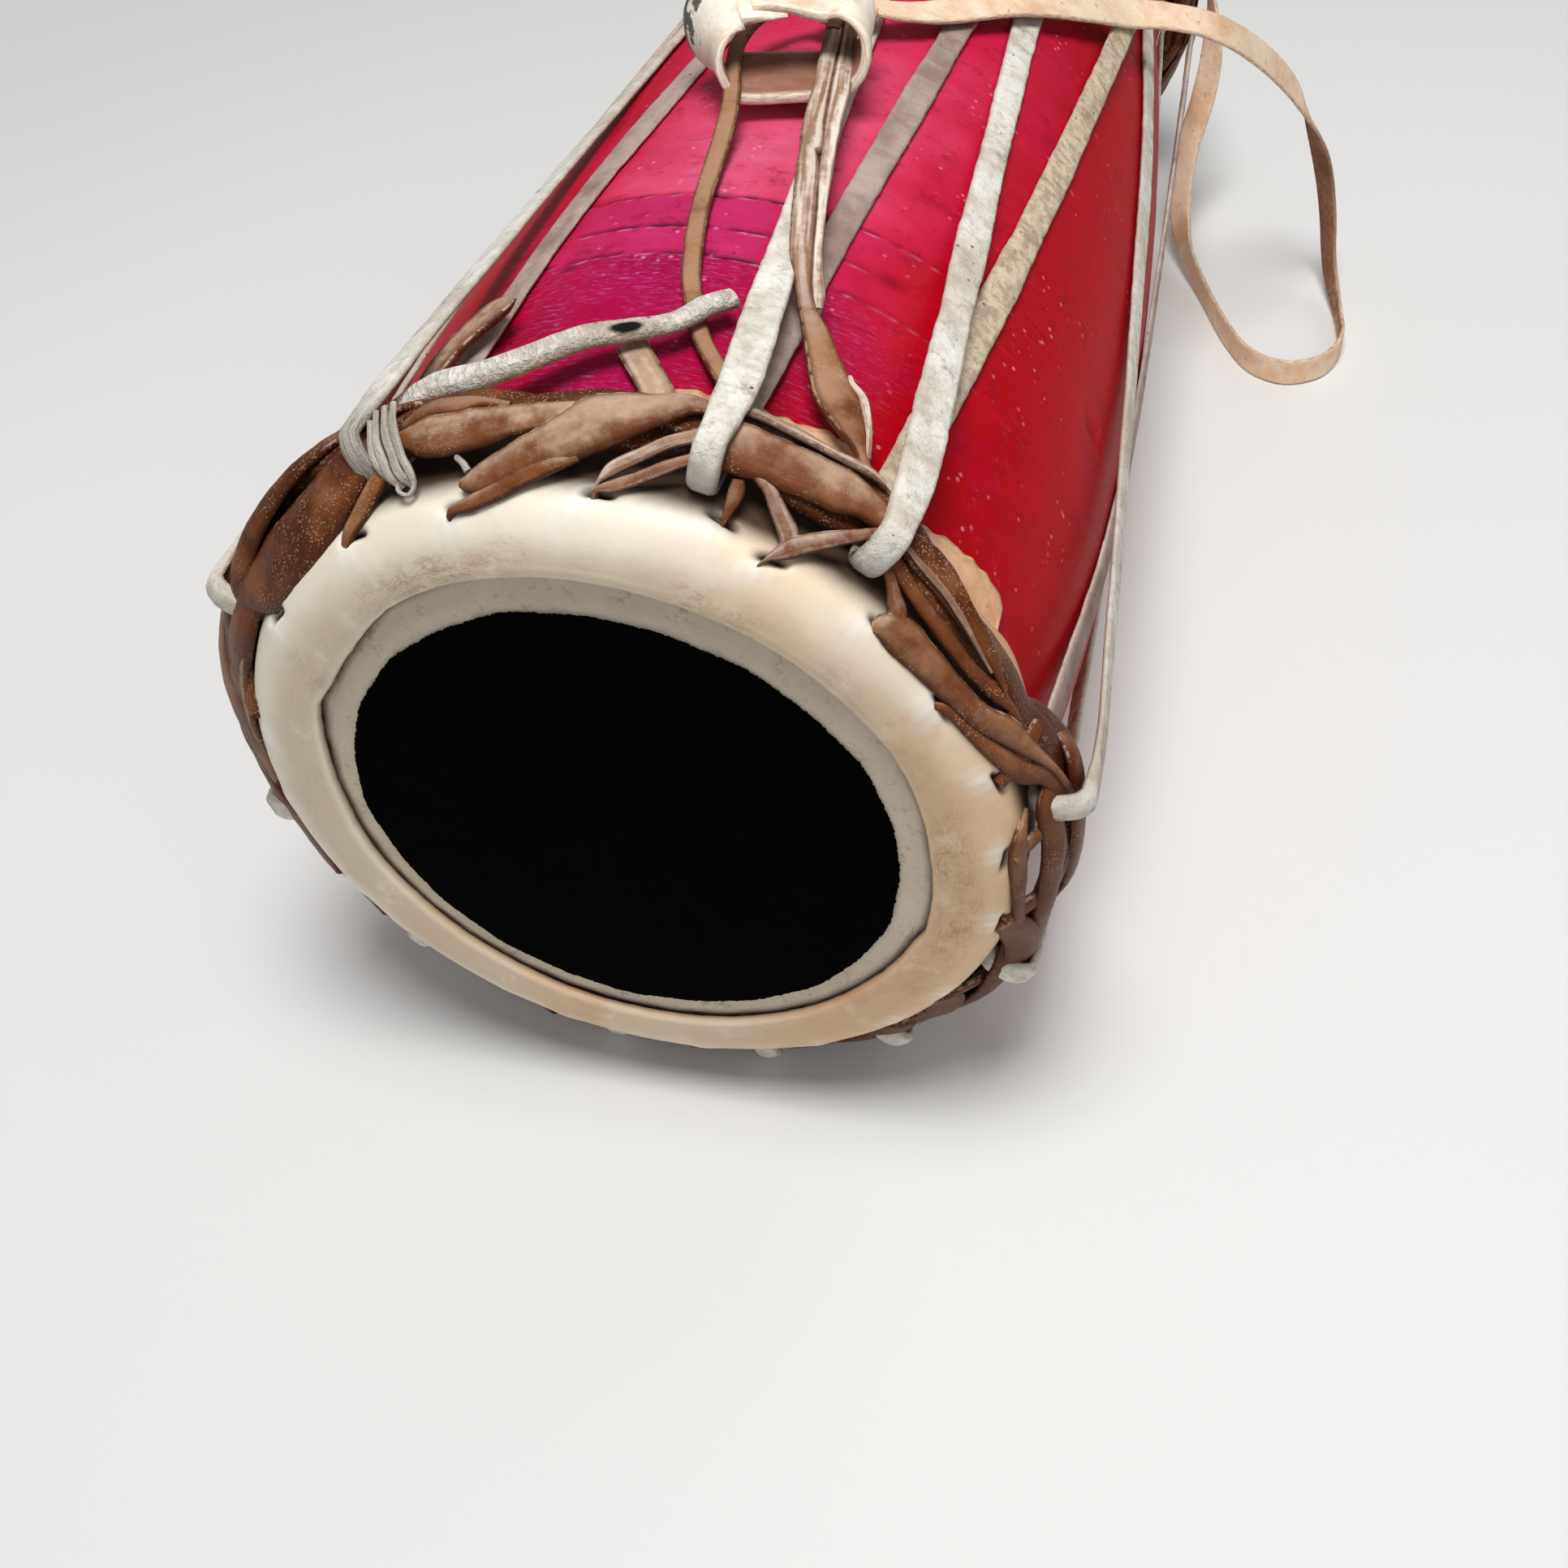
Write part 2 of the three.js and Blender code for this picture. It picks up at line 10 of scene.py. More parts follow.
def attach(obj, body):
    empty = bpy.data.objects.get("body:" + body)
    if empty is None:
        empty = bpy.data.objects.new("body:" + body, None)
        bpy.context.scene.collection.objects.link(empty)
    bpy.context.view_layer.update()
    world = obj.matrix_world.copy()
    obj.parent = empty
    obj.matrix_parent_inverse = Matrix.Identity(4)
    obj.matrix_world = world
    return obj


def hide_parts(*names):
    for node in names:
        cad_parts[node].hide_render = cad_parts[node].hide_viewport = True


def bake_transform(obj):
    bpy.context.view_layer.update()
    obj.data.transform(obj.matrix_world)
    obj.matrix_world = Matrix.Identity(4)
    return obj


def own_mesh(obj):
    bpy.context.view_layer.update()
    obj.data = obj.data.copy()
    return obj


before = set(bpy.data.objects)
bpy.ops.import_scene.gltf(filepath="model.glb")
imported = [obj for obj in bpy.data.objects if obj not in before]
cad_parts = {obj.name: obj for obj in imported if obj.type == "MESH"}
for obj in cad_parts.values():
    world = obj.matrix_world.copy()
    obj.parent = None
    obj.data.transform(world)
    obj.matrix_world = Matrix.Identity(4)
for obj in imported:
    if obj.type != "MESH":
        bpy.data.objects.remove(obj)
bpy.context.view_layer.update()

scene = bpy.context.scene
scene.view_settings.view_transform = "Standard"

# The drum is worked in millimetres along its own axis, then laid down as the frame has it
drumPose = {"tilt": math.radians(-2.4603), "place": (-0.9931, -234.3648, 99.1630)}
mmToObject = Matrix.Scale(0.001, 4)
laidDown = Matrix.Translation(drumPose["place"]) @ Matrix.Rotation(drumPose["tilt"], 4, "X")
drumToObject = mmToObject @ laidDown

# Camera: stands in front of the large head and looks down on it
view = {
    "place": (0.1208, -0.4604, 0.3940),
    "ahead": (-0.1295, 0.6671, -0.7337),
    "right": (0.9832, 0.1822, -0.0078),
    "lens": 41.0,
    "shift": (-0.1267, -0.0370),
}


def setCamera():
    lens = bpy.data.cameras.new("camera")
    lens.sensor_width = 36.0
    lens.lens = view["lens"]
    lens.shift_x, lens.shift_y = view["shift"]
    lens.clip_start = 0.01
    ahead = Vector(view["ahead"]).normalized()
    right = Vector(view["right"])
    right = (right - ahead * right.dot(ahead)).normalized()
    up = right.cross(ahead)
    turn = Matrix((right, up, -ahead)).transposed().to_4x4()
    camera = bpy.data.objects.new("camera", lens)
    camera.matrix_world = Matrix.Translation(view["place"]) @ turn
    scene.collection.objects.link(camera)
    scene.camera = camera


setCamera()
print("camera set")


# Node trees: a wire is one socket, with the usual operators
class Wire:
    def __init__(self, kit, socket):
        self.kit = kit
        self.socket = socket

    def __add__(self, other):
        return self.kit.math("ADD", self, other)

    def __radd__(self, other):
        return self.kit.math("ADD", other, self)

    def __sub__(self, other):
        return self.kit.math("SUBTRACT", self, other)

    def __rsub__(self, other):
        return self.kit.math("SUBTRACT", other, self)

    def __mul__(self, other):
        return self.kit.math("MULTIPLY", self, other)

    def __rmul__(self, other):
        return self.kit.math("MULTIPLY", other, self)

    def __truediv__(self, other):
        return self.kit.math("DIVIDE", self, other)

    def __rtruediv__(self, other):
        return self.kit.math("DIVIDE", other, self)

    def __pow__(self, other):
        return self.kit.math("POWER", self, other)

    def __rpow__(self, other):
        return self.kit.math("POWER", other, self)


class NodeKit:
    def __init__(self, tree):
        self.tree = tree

    def put(self, socket, value):
        if isinstance(value, Wire):
            self.tree.links.new(value.socket, socket)
        else:
            socket.default_value = value

    def node(self, kind, settings=None, values=None, out=0):
        made = self.tree.nodes.new(kind)
        for key, setting in (settings or {}).items():
            setattr(made, key, setting)
        for key, value in (values or {}).items():
            self.put(made.inputs[key], value)
        return Wire(self, made.outputs[out])

    def math(self, operation, *values):
        return self.node("ShaderNodeMath", {"operation": operation}, dict(enumerate(values)))

    def vec(self, operation, *values):
        return self.node("ShaderNodeVectorMath", {"operation": operation}, dict(enumerate(values)))

    def length(self, vector):
        return self.node("ShaderNodeVectorMath", {"operation": "LENGTH"}, {0: vector}, "Value")

    def grown(self, vector, factor):
        return self.node("ShaderNodeVectorMath", {"operation": "SCALE"}, {0: vector, "Scale": factor})

    def axes(self, vector):
        split = self.tree.nodes.new("ShaderNodeSeparateXYZ")
        self.put(split.inputs[0], vector)
        return [Wire(self, socket) for socket in split.outputs]

    def joined(self, x, y, z):
        return self.node("ShaderNodeCombineXYZ", None, {0: x, 1: y, 2: z})

    def noise(self, vector, scale, detail=2.0, roughness=0.5, distortion=0.0):
        values = {
            "Vector": vector,
            "Scale": scale,
            "Detail": detail,
            "Roughness": roughness,
            "Distortion": distortion,
        }
        return self.node("ShaderNodeTexNoise", None, values)

    def spots(self, vector, scale):
        return self.node("ShaderNodeTexVoronoi", None, {"Vector": vector, "Scale": scale})

    # 0 up to low, 1 from high on, smooth between them
    def rise(self, value, low, high):
        values = {"Value": value, "From Min": low, "From Max": high}
        return self.node("ShaderNodeMapRange", {"interpolation_type": "SMOOTHSTEP"}, values)

    def mix(self, factor, first, second):
        values = {0: factor, 6: first, 7: second}
        return self.node("ShaderNodeMix", {"data_type": "RGBA"}, values, 2)


def paint(red, green, blue):
    def linear(level):
        share = level / 255
        return share / 12.92 if share <= 0.04045 else ((share + 0.055) / 1.055) ** 2.4

    return (linear(red), linear(green), linear(blue), 1.0)


# A finish is one material; its kit reads the drum's own millimetres and a thong's own run
class Finish(NodeKit):
    def __init__(self, name, **constants):
        self.material = bpy.data.materials.new(name)
        self.material.use_nodes = True
        super().__init__(self.material.node_tree)
        self.shader = self.tree.nodes["Principled BSDF"]
        for socket, value in constants.items():
            self.shader.inputs[socket.replace("_", " ")].default_value = value

    def drumSpace(self):
        back = Matrix.Rotation(-drumPose["tilt"], 3, "X")
        home = -(back @ Vector(drumPose["place"]))
        where = self.node("ShaderNodeTexCoord", None, None, "Object")
        values = {
            "Vector": where,
            "Location": home,
            "Rotation": (-drumPose["tilt"], 0, 0),
            "Scale": (1000, 1000, 1000),
        }
        return self.node("ShaderNodeMapping", {"vector_type": "POINT"}, values)

    def given(self, name):
        return self.node("ShaderNodeAttribute", {"attribute_name": name}, None, "Fac")

    def run(self):
        along = self.given("along")
        across = self.given("across") * self.given("halfWidth")
        layer = self.given("tint") * 97 + self.given("rise") * 3
        return along, across, layer

    def colour(self, value):
        self.put(self.shader.inputs["Base Color"], value)

    def roughness(self, value):
        self.put(self.shader.inputs["Roughness"], value)

    def coat(self, value):
        self.put(self.shader.inputs["Coat Weight"], value)

    def bump(self, height, depth, strength=1.0):
        values = {"Height": height, "Distance": depth, "Strength": strength}
        self.put(self.shader.inputs["Normal"], self.node("ShaderNodeBump", None, values))


# Lacquer: red, painted pinker on top as the sheen of the light, with a painted highlight there; a purple band
# between turned lines, grainy magenta in front of it, its grain painted as glints
def lacquerFinish():
    f = Finish("lacquer", Coat_Roughness=0.3, Specular_IOR_Level=0.06)
    where = f.drumSpace()
    x, y, z = f.axes(where)
    cloud = f.noise(where, 0.018, 3, 0.6)
    patch = f.noise(where, 0.08, 5, 0.72)
    farther = f.rise(y, 90, 170)
    upper = z - f.math("ABSOLUTE", x + 8 - farther * 20) * (0.5 - farther * 0.2) + (cloud - 0.5) * 50
    red = f.mix(patch, paint(146, 0, 10), paint(188, 0, 18))
    bruise = f.rise(f.noise(where, 0.035, 5, 0.7), 0.48, 0.62)
    red = f.mix(bruise * 0.5, red, paint(172, 0, 40))
    # Painted sheen: behind the first turned line, the upper side is painted pinker where light falls on it
    paintedTopSheen = f.rise(upper, 34, 80) * f.rise(y, 62, 96)
    colour = f.mix(paintedTopSheen, red, f.mix(patch, paint(182, 4, 44), paint(208, 32, 82)))
    # Painted highlight: a pale pink patch on the top, where the light is reflected
    paintedHighlight = f.rise(upper, 58, 106) * f.rise(y, 110, 112) * (1 - f.rise(y, 150, 240))
    colour = f.mix(paintedHighlight * 0.75, colour, f.mix(patch, paint(204, 56, 104), paint(230, 130, 162)))
    behindLine = f.rise(y, 84.8, 86.2)
    band = behindLine * (1 - f.rise(y, 109.4, 111)) * f.rise(upper, 44, 88)
    colour = f.mix(band * 0.7, colour, f.mix(patch, paint(154, 14, 74), paint(194, 58, 120)))
    near = (1 - behindLine) * f.rise(upper, 42, 92)
    colour = f.mix(near, colour, f.mix(patch, paint(138, 0, 46), paint(176, 8, 82)))
    rings = f.noise(f.joined(x * 0.012, y * 0.9, z * 0.012), 1.0, 5, 0.7)
    broken = f.noise(where, 0.05, 4, 0.65)
    marked = f.rise(y, 66, 76) * (1 - f.rise(y, 118, 126))
    grooves = f.rise(rings, 0.6, 0.66) * f.rise(broken, 0.5, 0.6) * (marked * 0.4 + 0.2)
    colour = f.mix(grooves * 0.7, colour, paint(96, 0, 34))
    fine = f.noise(f.joined(x * 0.06, y * 3.2, z * 0.06), 1.0, 3, 0.6)
    colour = f.mix(f.rise(fine, 0.5, 0.8) * 0.2, colour, paint(140, 0, 22))
    smear = f.rise(f.noise(where, 0.11, 6, 0.78), 0.53, 0.66)
    colour = f.mix(smear * 0.5, colour, paint(136, 0, 28))
    # Grain in rows in front of the line; on the upper side its specks are painted pale purple as glints
    grain = f.noise(f.joined(x * 0.42, y * 2.2, z * 0.42), 1.0, 4, 0.72)
    rows = f.rise(f.math("SINE", y * 3.6 + broken * 5), -0.3, 0.7) * 0.7 + 0.3
    glintZone = f.rise(y, 30, 40) * (1 - behindLine) * f.rise(upper, 40, 84)
    paintedGlints = f.rise(grain, 0.5, 0.64) * rows * (glintZone * 0.95 + 0.02) * f.rise(broken, 0.32, 0.5)
    colour = f.mix(paintedGlints * 0.55, colour, paint(214, 116, 194))
    dots = 1 - f.rise(f.spots(where, 0.3), 0.1, 0.22)
    pale = dots * f.rise(broken, 0.52, 0.62)
    colour = f.mix(pale * 0.55, colour, paint(236, 150, 172))
    scuffs = f.noise(f.joined(x * 0.16, y * 0.4, z * 0.16), 1.0, 6, 0.8)
    scuffs = f.rise(scuffs, 0.55, 0.7) * f.rise(broken, 0.42, 0.58)
    colour = f.mix(scuffs * 0.32, colour, paint(214, 58, 104))
    pits = 1 - f.rise(f.spots(f.vec("ADD", where, (31.0, 5.0, 17.0)), 0.24), 0.05, 0.12)
    colour = f.mix(pits * f.rise(patch, 0.5, 0.58) * 0.7, colour, paint(96, 0, 30))
    scratch = f.noise(f.joined(x * 0.05 + y * 0.05, y * 0.5, z * 0.05), 1.0, 1, 0.4, 0.6)
    hairline = f.rise(scratch, 0.494, 0.5) * (1 - f.rise(scratch, 0.5, 0.506)) * f.rise(broken, 0.48, 0.6)
    colour = f.mix(hairline * 0.5, colour, paint(110, 0, 34))
    groove = f.mix(f.rise(upper, 40, 80), paint(112, 0, 8), paint(62, 2, 40))
    colour = f.mix(f.given("carved") * 0.95, colour, groove)
    colour = f.mix(f.given("raised") * 0.75, colour, paint(240, 160, 190))
    f.colour(colour)
    f.roughness(0.42 + cloud * 0.16 + grooves * 0.2 + paintedGlints * 0.15)
    f.coat(0.03 - grooves * 0.02)
    relief = rings * 0.4 + fine * 0.3 - grooves * 1.2 - smear * 0.3 + paintedGlints * 0.9 + pale - hairline
    f.bump(relief, 0.0003, 0.6)
    return f.material


# Collar: scraped ivory hide, brown and speckled towards its opening, whitened where the slits stretch it;
# painted sheen patches on its face, a painted highlight on each slit's lip, painted shade in the slits and on
# the skirt under the hoop
def collarFinish():
    f = Finish("ivory_hide", Specular_IOR_Level=0.4)
    where = f.drumSpace()
    x, z = f.axes(where)[::2]
    depth = f.given("depth")
    slit = f.given("slit")
    lip = f.given("lip")
    ax, az = f.axes(f.grown(f.vec("NORMALIZE", f.joined(x, 0.0, z)), 26.0))[::2]
    streak = f.noise(f.joined(ax * 0.6, depth * 0.4, az * 0.6), 1.0, 5, 0.72)
    fine = f.noise(f.joined(ax * 2.6, depth * 1.8, az * 2.6), 1.0, 5, 0.8)
    blotch = f.noise(where, 0.045, 4, 0.6)
    wide = f.noise(where, 0.016, 2, 0.5)
    colour = f.mix(blotch, paint(228, 214, 188), paint(248, 241, 228))
    warm = f.rise(wide + x * 0.0022 - z * 0.0012, 0.4, 0.72)
    colour = f.mix(warm * 0.75, colour, paint(228, 190, 146))
    zone = depth + (blotch - 0.5) * 7
    front = f.rise(depth, 1.0, 4) * (1 - f.rise(zone, 8, 17))
    colour = f.mix(front * 0.5, colour, paint(190, 162, 128))
    soiled = f.noise(f.vec("ADD", where, (3.0, 41.0, 9.0)), 0.03, 4, 0.6)
    soiled = f.rise(soiled, 0.44, 0.6) * f.rise(z + x * 0.4, -40, 16) * 0.85 + 0.1
    handled = front * 0.9 + (1 - f.rise(zone, 16, 26)) * 0.1
    grime = f.rise(fine * 0.8 + streak * 0.5, 0.55, 0.8) * handled * soiled
    colour = f.mix(grime * 0.75, colour, paint(122, 88, 56))
    # Painted sheen: paler patches on the front face
    sheenPatch = f.rise(f.noise(where, 0.09, 4, 0.7), 0.54, 0.66) * front
    colour = f.mix(sheenPatch * 0.5, colour, paint(236, 224, 204))
    pores = f.rise(f.noise(where, 0.9, 3, 0.7), 0.66, 0.74)
    colour = f.mix(pores * 0.22, colour, paint(150, 116, 84))
    stain = f.rise(f.noise(f.vec("ADD", where, (13.0, 4.0, 57.0)), 0.028, 4, 0.65), 0.58, 0.72)
    low = f.rise(x - z * 0.6, 24, 84)
    colour = f.mix(stain * 0.35 + low * streak * 0.5, colour, paint(196, 142, 84))
    edge = 1 - f.rise(depth, 0.9, 2.4)
    colour = f.mix(edge * 0.55, colour, paint(160, 128, 96))
    speck = 1 - f.rise(f.spots(where, 0.05), 0.012, 0.026)
    colour = f.mix(speck * 0.85, colour, paint(40, 30, 24))
    # The raised lip before each slit is painted near white: hide whitened by stretching, and the painted
    # highlight the lip catches
    colour = f.mix(lip * 0.7, colour, paint(250, 246, 240))
    # Painted shade: the skirt in the crevices under the hoop's strips is painted dark brown
    skirtShade = f.rise(depth + (blotch - 0.5) * 4, 21, 28)
    colour = f.mix(skirtShade * 0.97, colour, paint(58, 38, 24))
    behind = f.rise(depth + (blotch - 0.5) * 3, 38, 42)
    colour = f.mix(behind, colour, f.mix(blotch, paint(186, 136, 94), paint(214, 170, 128)))
    # Painted shade: the slit cuts are painted near black
    colour = f.mix(slit, colour, paint(26, 15, 9))
    f.colour(colour)
    f.roughness(0.32 + streak * 0.24 + grime * 0.12)
    f.bump(fine * 0.25 + streak * 0.3 - pores * 0.4 + blotch * 0.8, 0.0004, 0.5)
    return f.material


# Bare ring of the membrane: pale napped hide with dirt rubbed into it
def napFinish():
    f = Finish("grey_nap", Specular_IOR_Level=0.2)
    where = f.drumSpace()
    nap = f.noise(where, 1.3, 5, 0.75)
    cloud = f.noise(where, 0.07, 4, 0.6)
    colour = f.mix(cloud, paint(206, 188, 166), paint(232, 219, 200))
    colour = f.mix(f.rise(nap, 0.45, 0.75) * 0.5, colour, paint(234, 226, 210))
    dirt = f.rise(f.noise(where, 0.22, 5, 0.75), 0.54, 0.7)
    colour = f.mix(dirt * 0.5, colour, paint(126, 104, 80))
    colour = f.mix(f.given("shade"), colour, paint(52, 36, 26))
    f.colour(colour)
    f.roughness(0.82 + nap * 0.15)
    f.bump(nap + cloud * 0.6, 0.0006, 0.7)
    return f.material


# Tuning paste: dead black, crumbly
def pasteFinish():
    f = Finish("black_paste", Specular_IOR_Level=0.02)
    where = f.drumSpace()
    crumb = f.noise(where, 1.6, 5, 0.75)
    cloud = f.noise(where, 0.06, 3, 0.6)
    f.colour(f.mix(crumb * 0.5 + cloud * 0.3, paint(0, 0, 0), paint(9, 8, 8)))
    f.roughness(0.88 + crumb * 0.12)
    f.bump(crumb, 0.0004, 0.6)
    return f.material


# Brown rawhide: glossy amber, darker at its edges, with painted shade underneath; dusty and gritty on top,
# where the dust also stands for a painted highlight on up-facing parts and top edges
def rawhideFinish(name, dark, middle, light, dustAndHighlight):
    f = Finish(name, Specular_IOR_Level=0.16)
    where = f.drumSpace()
    along, across, layer = f.run()
    tint = f.given("tint")
    pale = f.given("pale")
    rim = f.math("ABSOLUTE", f.given("across"))
    nz = f.axes(f.node("ShaderNodeNewGeometry", None, None, "Normal"))[2]
    blotch = f.noise(where, 0.1, 3, 0.55)
    mottle = f.noise(where, 0.42, 5, 0.68)
    skew = f.joined(along * 0.05 + across * 0.3, across * 0.6 - along * 0.015, layer + across * 0.4)
    fibre = f.noise(skew, 1.0, 4, 0.6, 0.5)
    tone = tint * 0.75 + (blotch - 0.5) * 1.3 + (mottle - 0.5) * 0.25 + (fibre - 0.5) * 0.25
    colour = f.mix(f.rise(tone, -0.1, 0.3), dark, middle)
    colour = f.mix(f.rise(tone, 0.32, 0.85), colour, light)
    amber = f.rise(f.noise(f.vec("ADD", where, (7.0, 3.0, 11.0)), 0.08, 3, 0.55), 0.5, 0.66)
    colour = f.mix(amber * 0.4, colour, paint(142, 88, 42))
    colour = f.mix(f.rise(fibre, 0.56, 0.74) * 0.3, colour, dark)
    # Up-facing parts: pale dust, and a painted highlight where the light falls from above
    dustAndToplight = f.rise(nz + (blotch - 0.5) * 0.9 + (mottle - 0.5) * 0.3, 0.66, 1.04)
    colour = f.mix(dustAndToplight * (0.12 + tint * 0.62), colour, dustAndHighlight)
    # Painted shade: parts that face down are darkened
    under = 1 - f.rise(nz + (blotch - 0.5) * 0.4, -0.2, 0.55)
    colour = f.mix(under * 0.7, colour, dark)
    colour = f.mix(f.rise(rim, 0.6, 0.96) * 0.8, colour, dark)
    # Top-facing rims: worn pale, and painted as highlights
    wornRimHighlight = f.rise(rim, 0.84, 0.95) * f.rise(mottle, 0.46, 0.58) * f.rise(nz, 0.3, 0.8)
    colour = f.mix(wornRimHighlight * 0.75, colour, dustAndHighlight)
    cluster = f.rise(f.noise(where, 0.09, 4, 0.65) - tint * 0.12, 0.42, 0.56)
    grit = f.rise(mottle * 0.5 - f.spots(where, 1.5), -0.1, 0.04) * cluster
    colour = f.mix(grit * 0.45, colour, paint(208, 182, 150))
    streak = f.noise(f.joined(along * 0.03, across * 0.55, layer), 1.0, 3, 0.55)
    greyed = f.rise(streak + (mottle - 0.5) * 0.3, 0.36, 0.6)
    greyed = f.mix(greyed, paint(146, 114, 92), paint(224, 212, 200))
    cover = pale * (1 - f.rise(rim, 0.55, 0.95) * 0.75) * f.rise(mottle + pale * 0.4, 0.4, 0.64)
    colour = f.mix(cover, colour, greyed)
    f.colour(colour)
    f.roughness(0.34 + mottle * 0.14 + dustAndToplight * 0.28 + grit * 0.2 + pale * 0.3)
    f.bump(fibre * 0.6 + grit * 0.5 + mottle * 0.7 + blotch, 0.0006, 0.6)
    return f.material


# White lace: napped hide, greyer on its flesh side, flecked black; a rolled tail is ribbed across
def laceFinish():
    f = Finish("white_lace", Specular_IOR_Level=0.2)
    where = f.drumSpace()
    along, across, layer = f.run()
    flesh = f.rise(f.given("rise") * -1, 0.0, 0.5)
    rim = f.math("ABSOLUTE", f.given("across"))
    state = f.given("pale")  # below nothing it is weathered, above it is rolled
    cloud = f.noise(where, 0.05, 4, 0.65)
    mottle = f.noise(where, 0.3, 5, 0.72)
    nap = f.noise(where, 1.7, 4, 0.72)
    colour = f.mix(f.rise(cloud, 0.32, 0.62), paint(206, 194, 176), paint(240, 236, 228))
    colour = f.mix(f.rise(mottle, 0.44, 0.66) * 0.55, colour, paint(182, 170, 156))
    colour = f.mix(f.rise(nap, 0.55, 0.75) * 0.3, colour, paint(170, 154, 140))
    beige = f.mix(f.rise(mottle, 0.4, 0.62), paint(222, 202, 172), paint(176, 152, 128))
    mauve = f.mix(f.rise(cloud, 0.35, 0.6), paint(140, 112, 106), paint(178, 154, 146))
    colour = f.mix(flesh * 0.88, colour, f.mix(f.rise(f.given("tint"), 0.5, 0.6), mauve, beige))
    soil = f.rise(f.noise(where, 0.13, 6, 0.75), 0.55, 0.68)
    colour = f.mix(soil * 0.6, colour, paint(140, 122, 108))
    fleck = (1 - f.rise(f.spots(where, 0.26), 0.08, 0.15)) * f.rise(f.noise(where, 0.06, 3, 0.6), 0.5, 0.58)
    colour = f.mix(fleck * 0.85, colour, paint(44, 36, 32))
    cutEdge = f.mix(nap, paint(128, 110, 94), paint(208, 194, 176))
    colour = f.mix(f.rise(rim, 0.72, 1.0) * 0.45, colour, cutEdge)
    fibrous = f.rise(f.noise(f.joined(along * 0.08, across * 2.6, layer), 1.0, 4, 0.7), 0.38, 0.6)
    colour = f.mix(state * -1, colour, f.mix(fibrous, paint(86, 77, 70), paint(182, 173, 164)))
    rolled = f.rise(state, 0.2, 0.6)
    rib = f.rise(f.noise(f.joined(along * 1.1, across * 0.2, layer), 1.0, 3, 0.6), 0.38, 0.6)
    colour = f.mix(rolled * (1 - rib) * 0.35, colour, paint(160, 144, 132))
    burn = 1 - f.rise(f.length(f.joined((along - 49) * 0.6, across * 1.6 - 2.0, mottle * 2.4)), 1.9, 2.9)
    colour = f.mix(rolled * burn, colour, paint(18, 14, 13))
    f.colour(colour)
    f.roughness(0.74 + nap * 0.2)
    f.bump(nap * 0.6 + mottle * 1.3 + cloud + rolled * rib * 0.6, 0.0009, 0.8)
    return f.material


# Strap hide: peach cream on its grain side, brown and mottled on the other; soot marks the ring's left
def strapFinish(name, cream, shade, flesh, cut, soot=0.0):
    f = Finish(name, Specular_IOR_Level=0.4)
    where = f.drumSpace()
    along, across, layer = f.run()
    under = f.rise(f.given("rise") * -1, -0.1, 0.4)
    rim = f.rise(f.math("ABSOLUTE", f.given("across")), 0.8, 1.0)
    cloud = f.noise(where, 0.06, 4, 0.65)
    mottle = f.noise(where, 0.45, 5, 0.72)
    fibre = f.noise(f.joined(along * 0.3, across * 1.2, layer), 1.0, 4, 0.65)
    colour = f.mix(f.rise(cloud, 0.34, 0.62), shade, cream)
    colour = f.mix(f.rise(mottle, 0.5, 0.72) * 0.45, colour, shade)
    back = f.mix(f.rise(cloud * 0.5 + mottle * 0.5, 0.42, 0.62), flesh, shade)
    if soot:
        tanned = f.rise(mottle, 0.2, 0.5)
        back = f.mix(tanned * 0.95, back, f.mix(mottle, paint(92, 34, 14), paint(152, 70, 34)))
    colour = f.mix(under * 0.88, colour, back)
    spots = f.rise(f.noise(f.vec("ADD", where, (5.0, 9.0, 2.0)), 0.3, 4, 0.65), 0.63, 0.7)
    colour = f.mix(spots * 0.5, colour, flesh)
    colour = f.mix(rim * 0.75, colour, f.mix(f.rise(fibre, 0.35, 0.6), cut, cream))
    colour = f.mix(f.given("pale") * -0.7, colour, flesh)
    if soot:
        left = f.axes(where)[0] * -1
        black = f.rise(f.noise(where, 0.24, 5, 0.72) + f.rise(left, 17, 28) * 0.2, 0.6, 0.68)
        colour = f.mix(black * f.rise(left, 16, 21) * soot, colour, paint(30, 24, 21))
    f.colour(colour)
    f.roughness(0.46 + mottle * 0.2 + under * 0.2)
    f.bump(fibre * 0.4 + mottle * 0.8 + cloud, 0.0006, 0.7)
    return f.material


lacquer = lacquerFinish()
ivoryHide = collarFinish()
greyNap = napFinish()
blackPaste = pasteFinish()
brownRawhide = rawhideFinish(
    "brown_rawhide", paint(78, 37, 16), paint(114, 64, 34), paint(156, 112, 78), paint(200, 175, 150)
)
tanRawhide = rawhideFinish(
    "tan_rawhide", paint(90, 46, 20), paint(134, 82, 45), paint(168, 117, 78), paint(196, 167, 138)
)
tanHide = strapFinish(
    "tan_hide", paint(222, 178, 138), paint(196, 146, 104), paint(116, 74, 44), paint(168, 116, 76)
)
whiteLace = laceFinish()
paleStrap = strapFinish(
    "pale_strap", paint(242, 220, 192), paint(226, 184, 144), paint(126, 80, 54), paint(150, 102, 70)
)
creamLeather = strapFinish(
    "cream_leather", paint(246, 238, 222), paint(214, 190, 160), paint(140, 72, 36), paint(206, 178, 146), 0.9
)
print("finishes made")


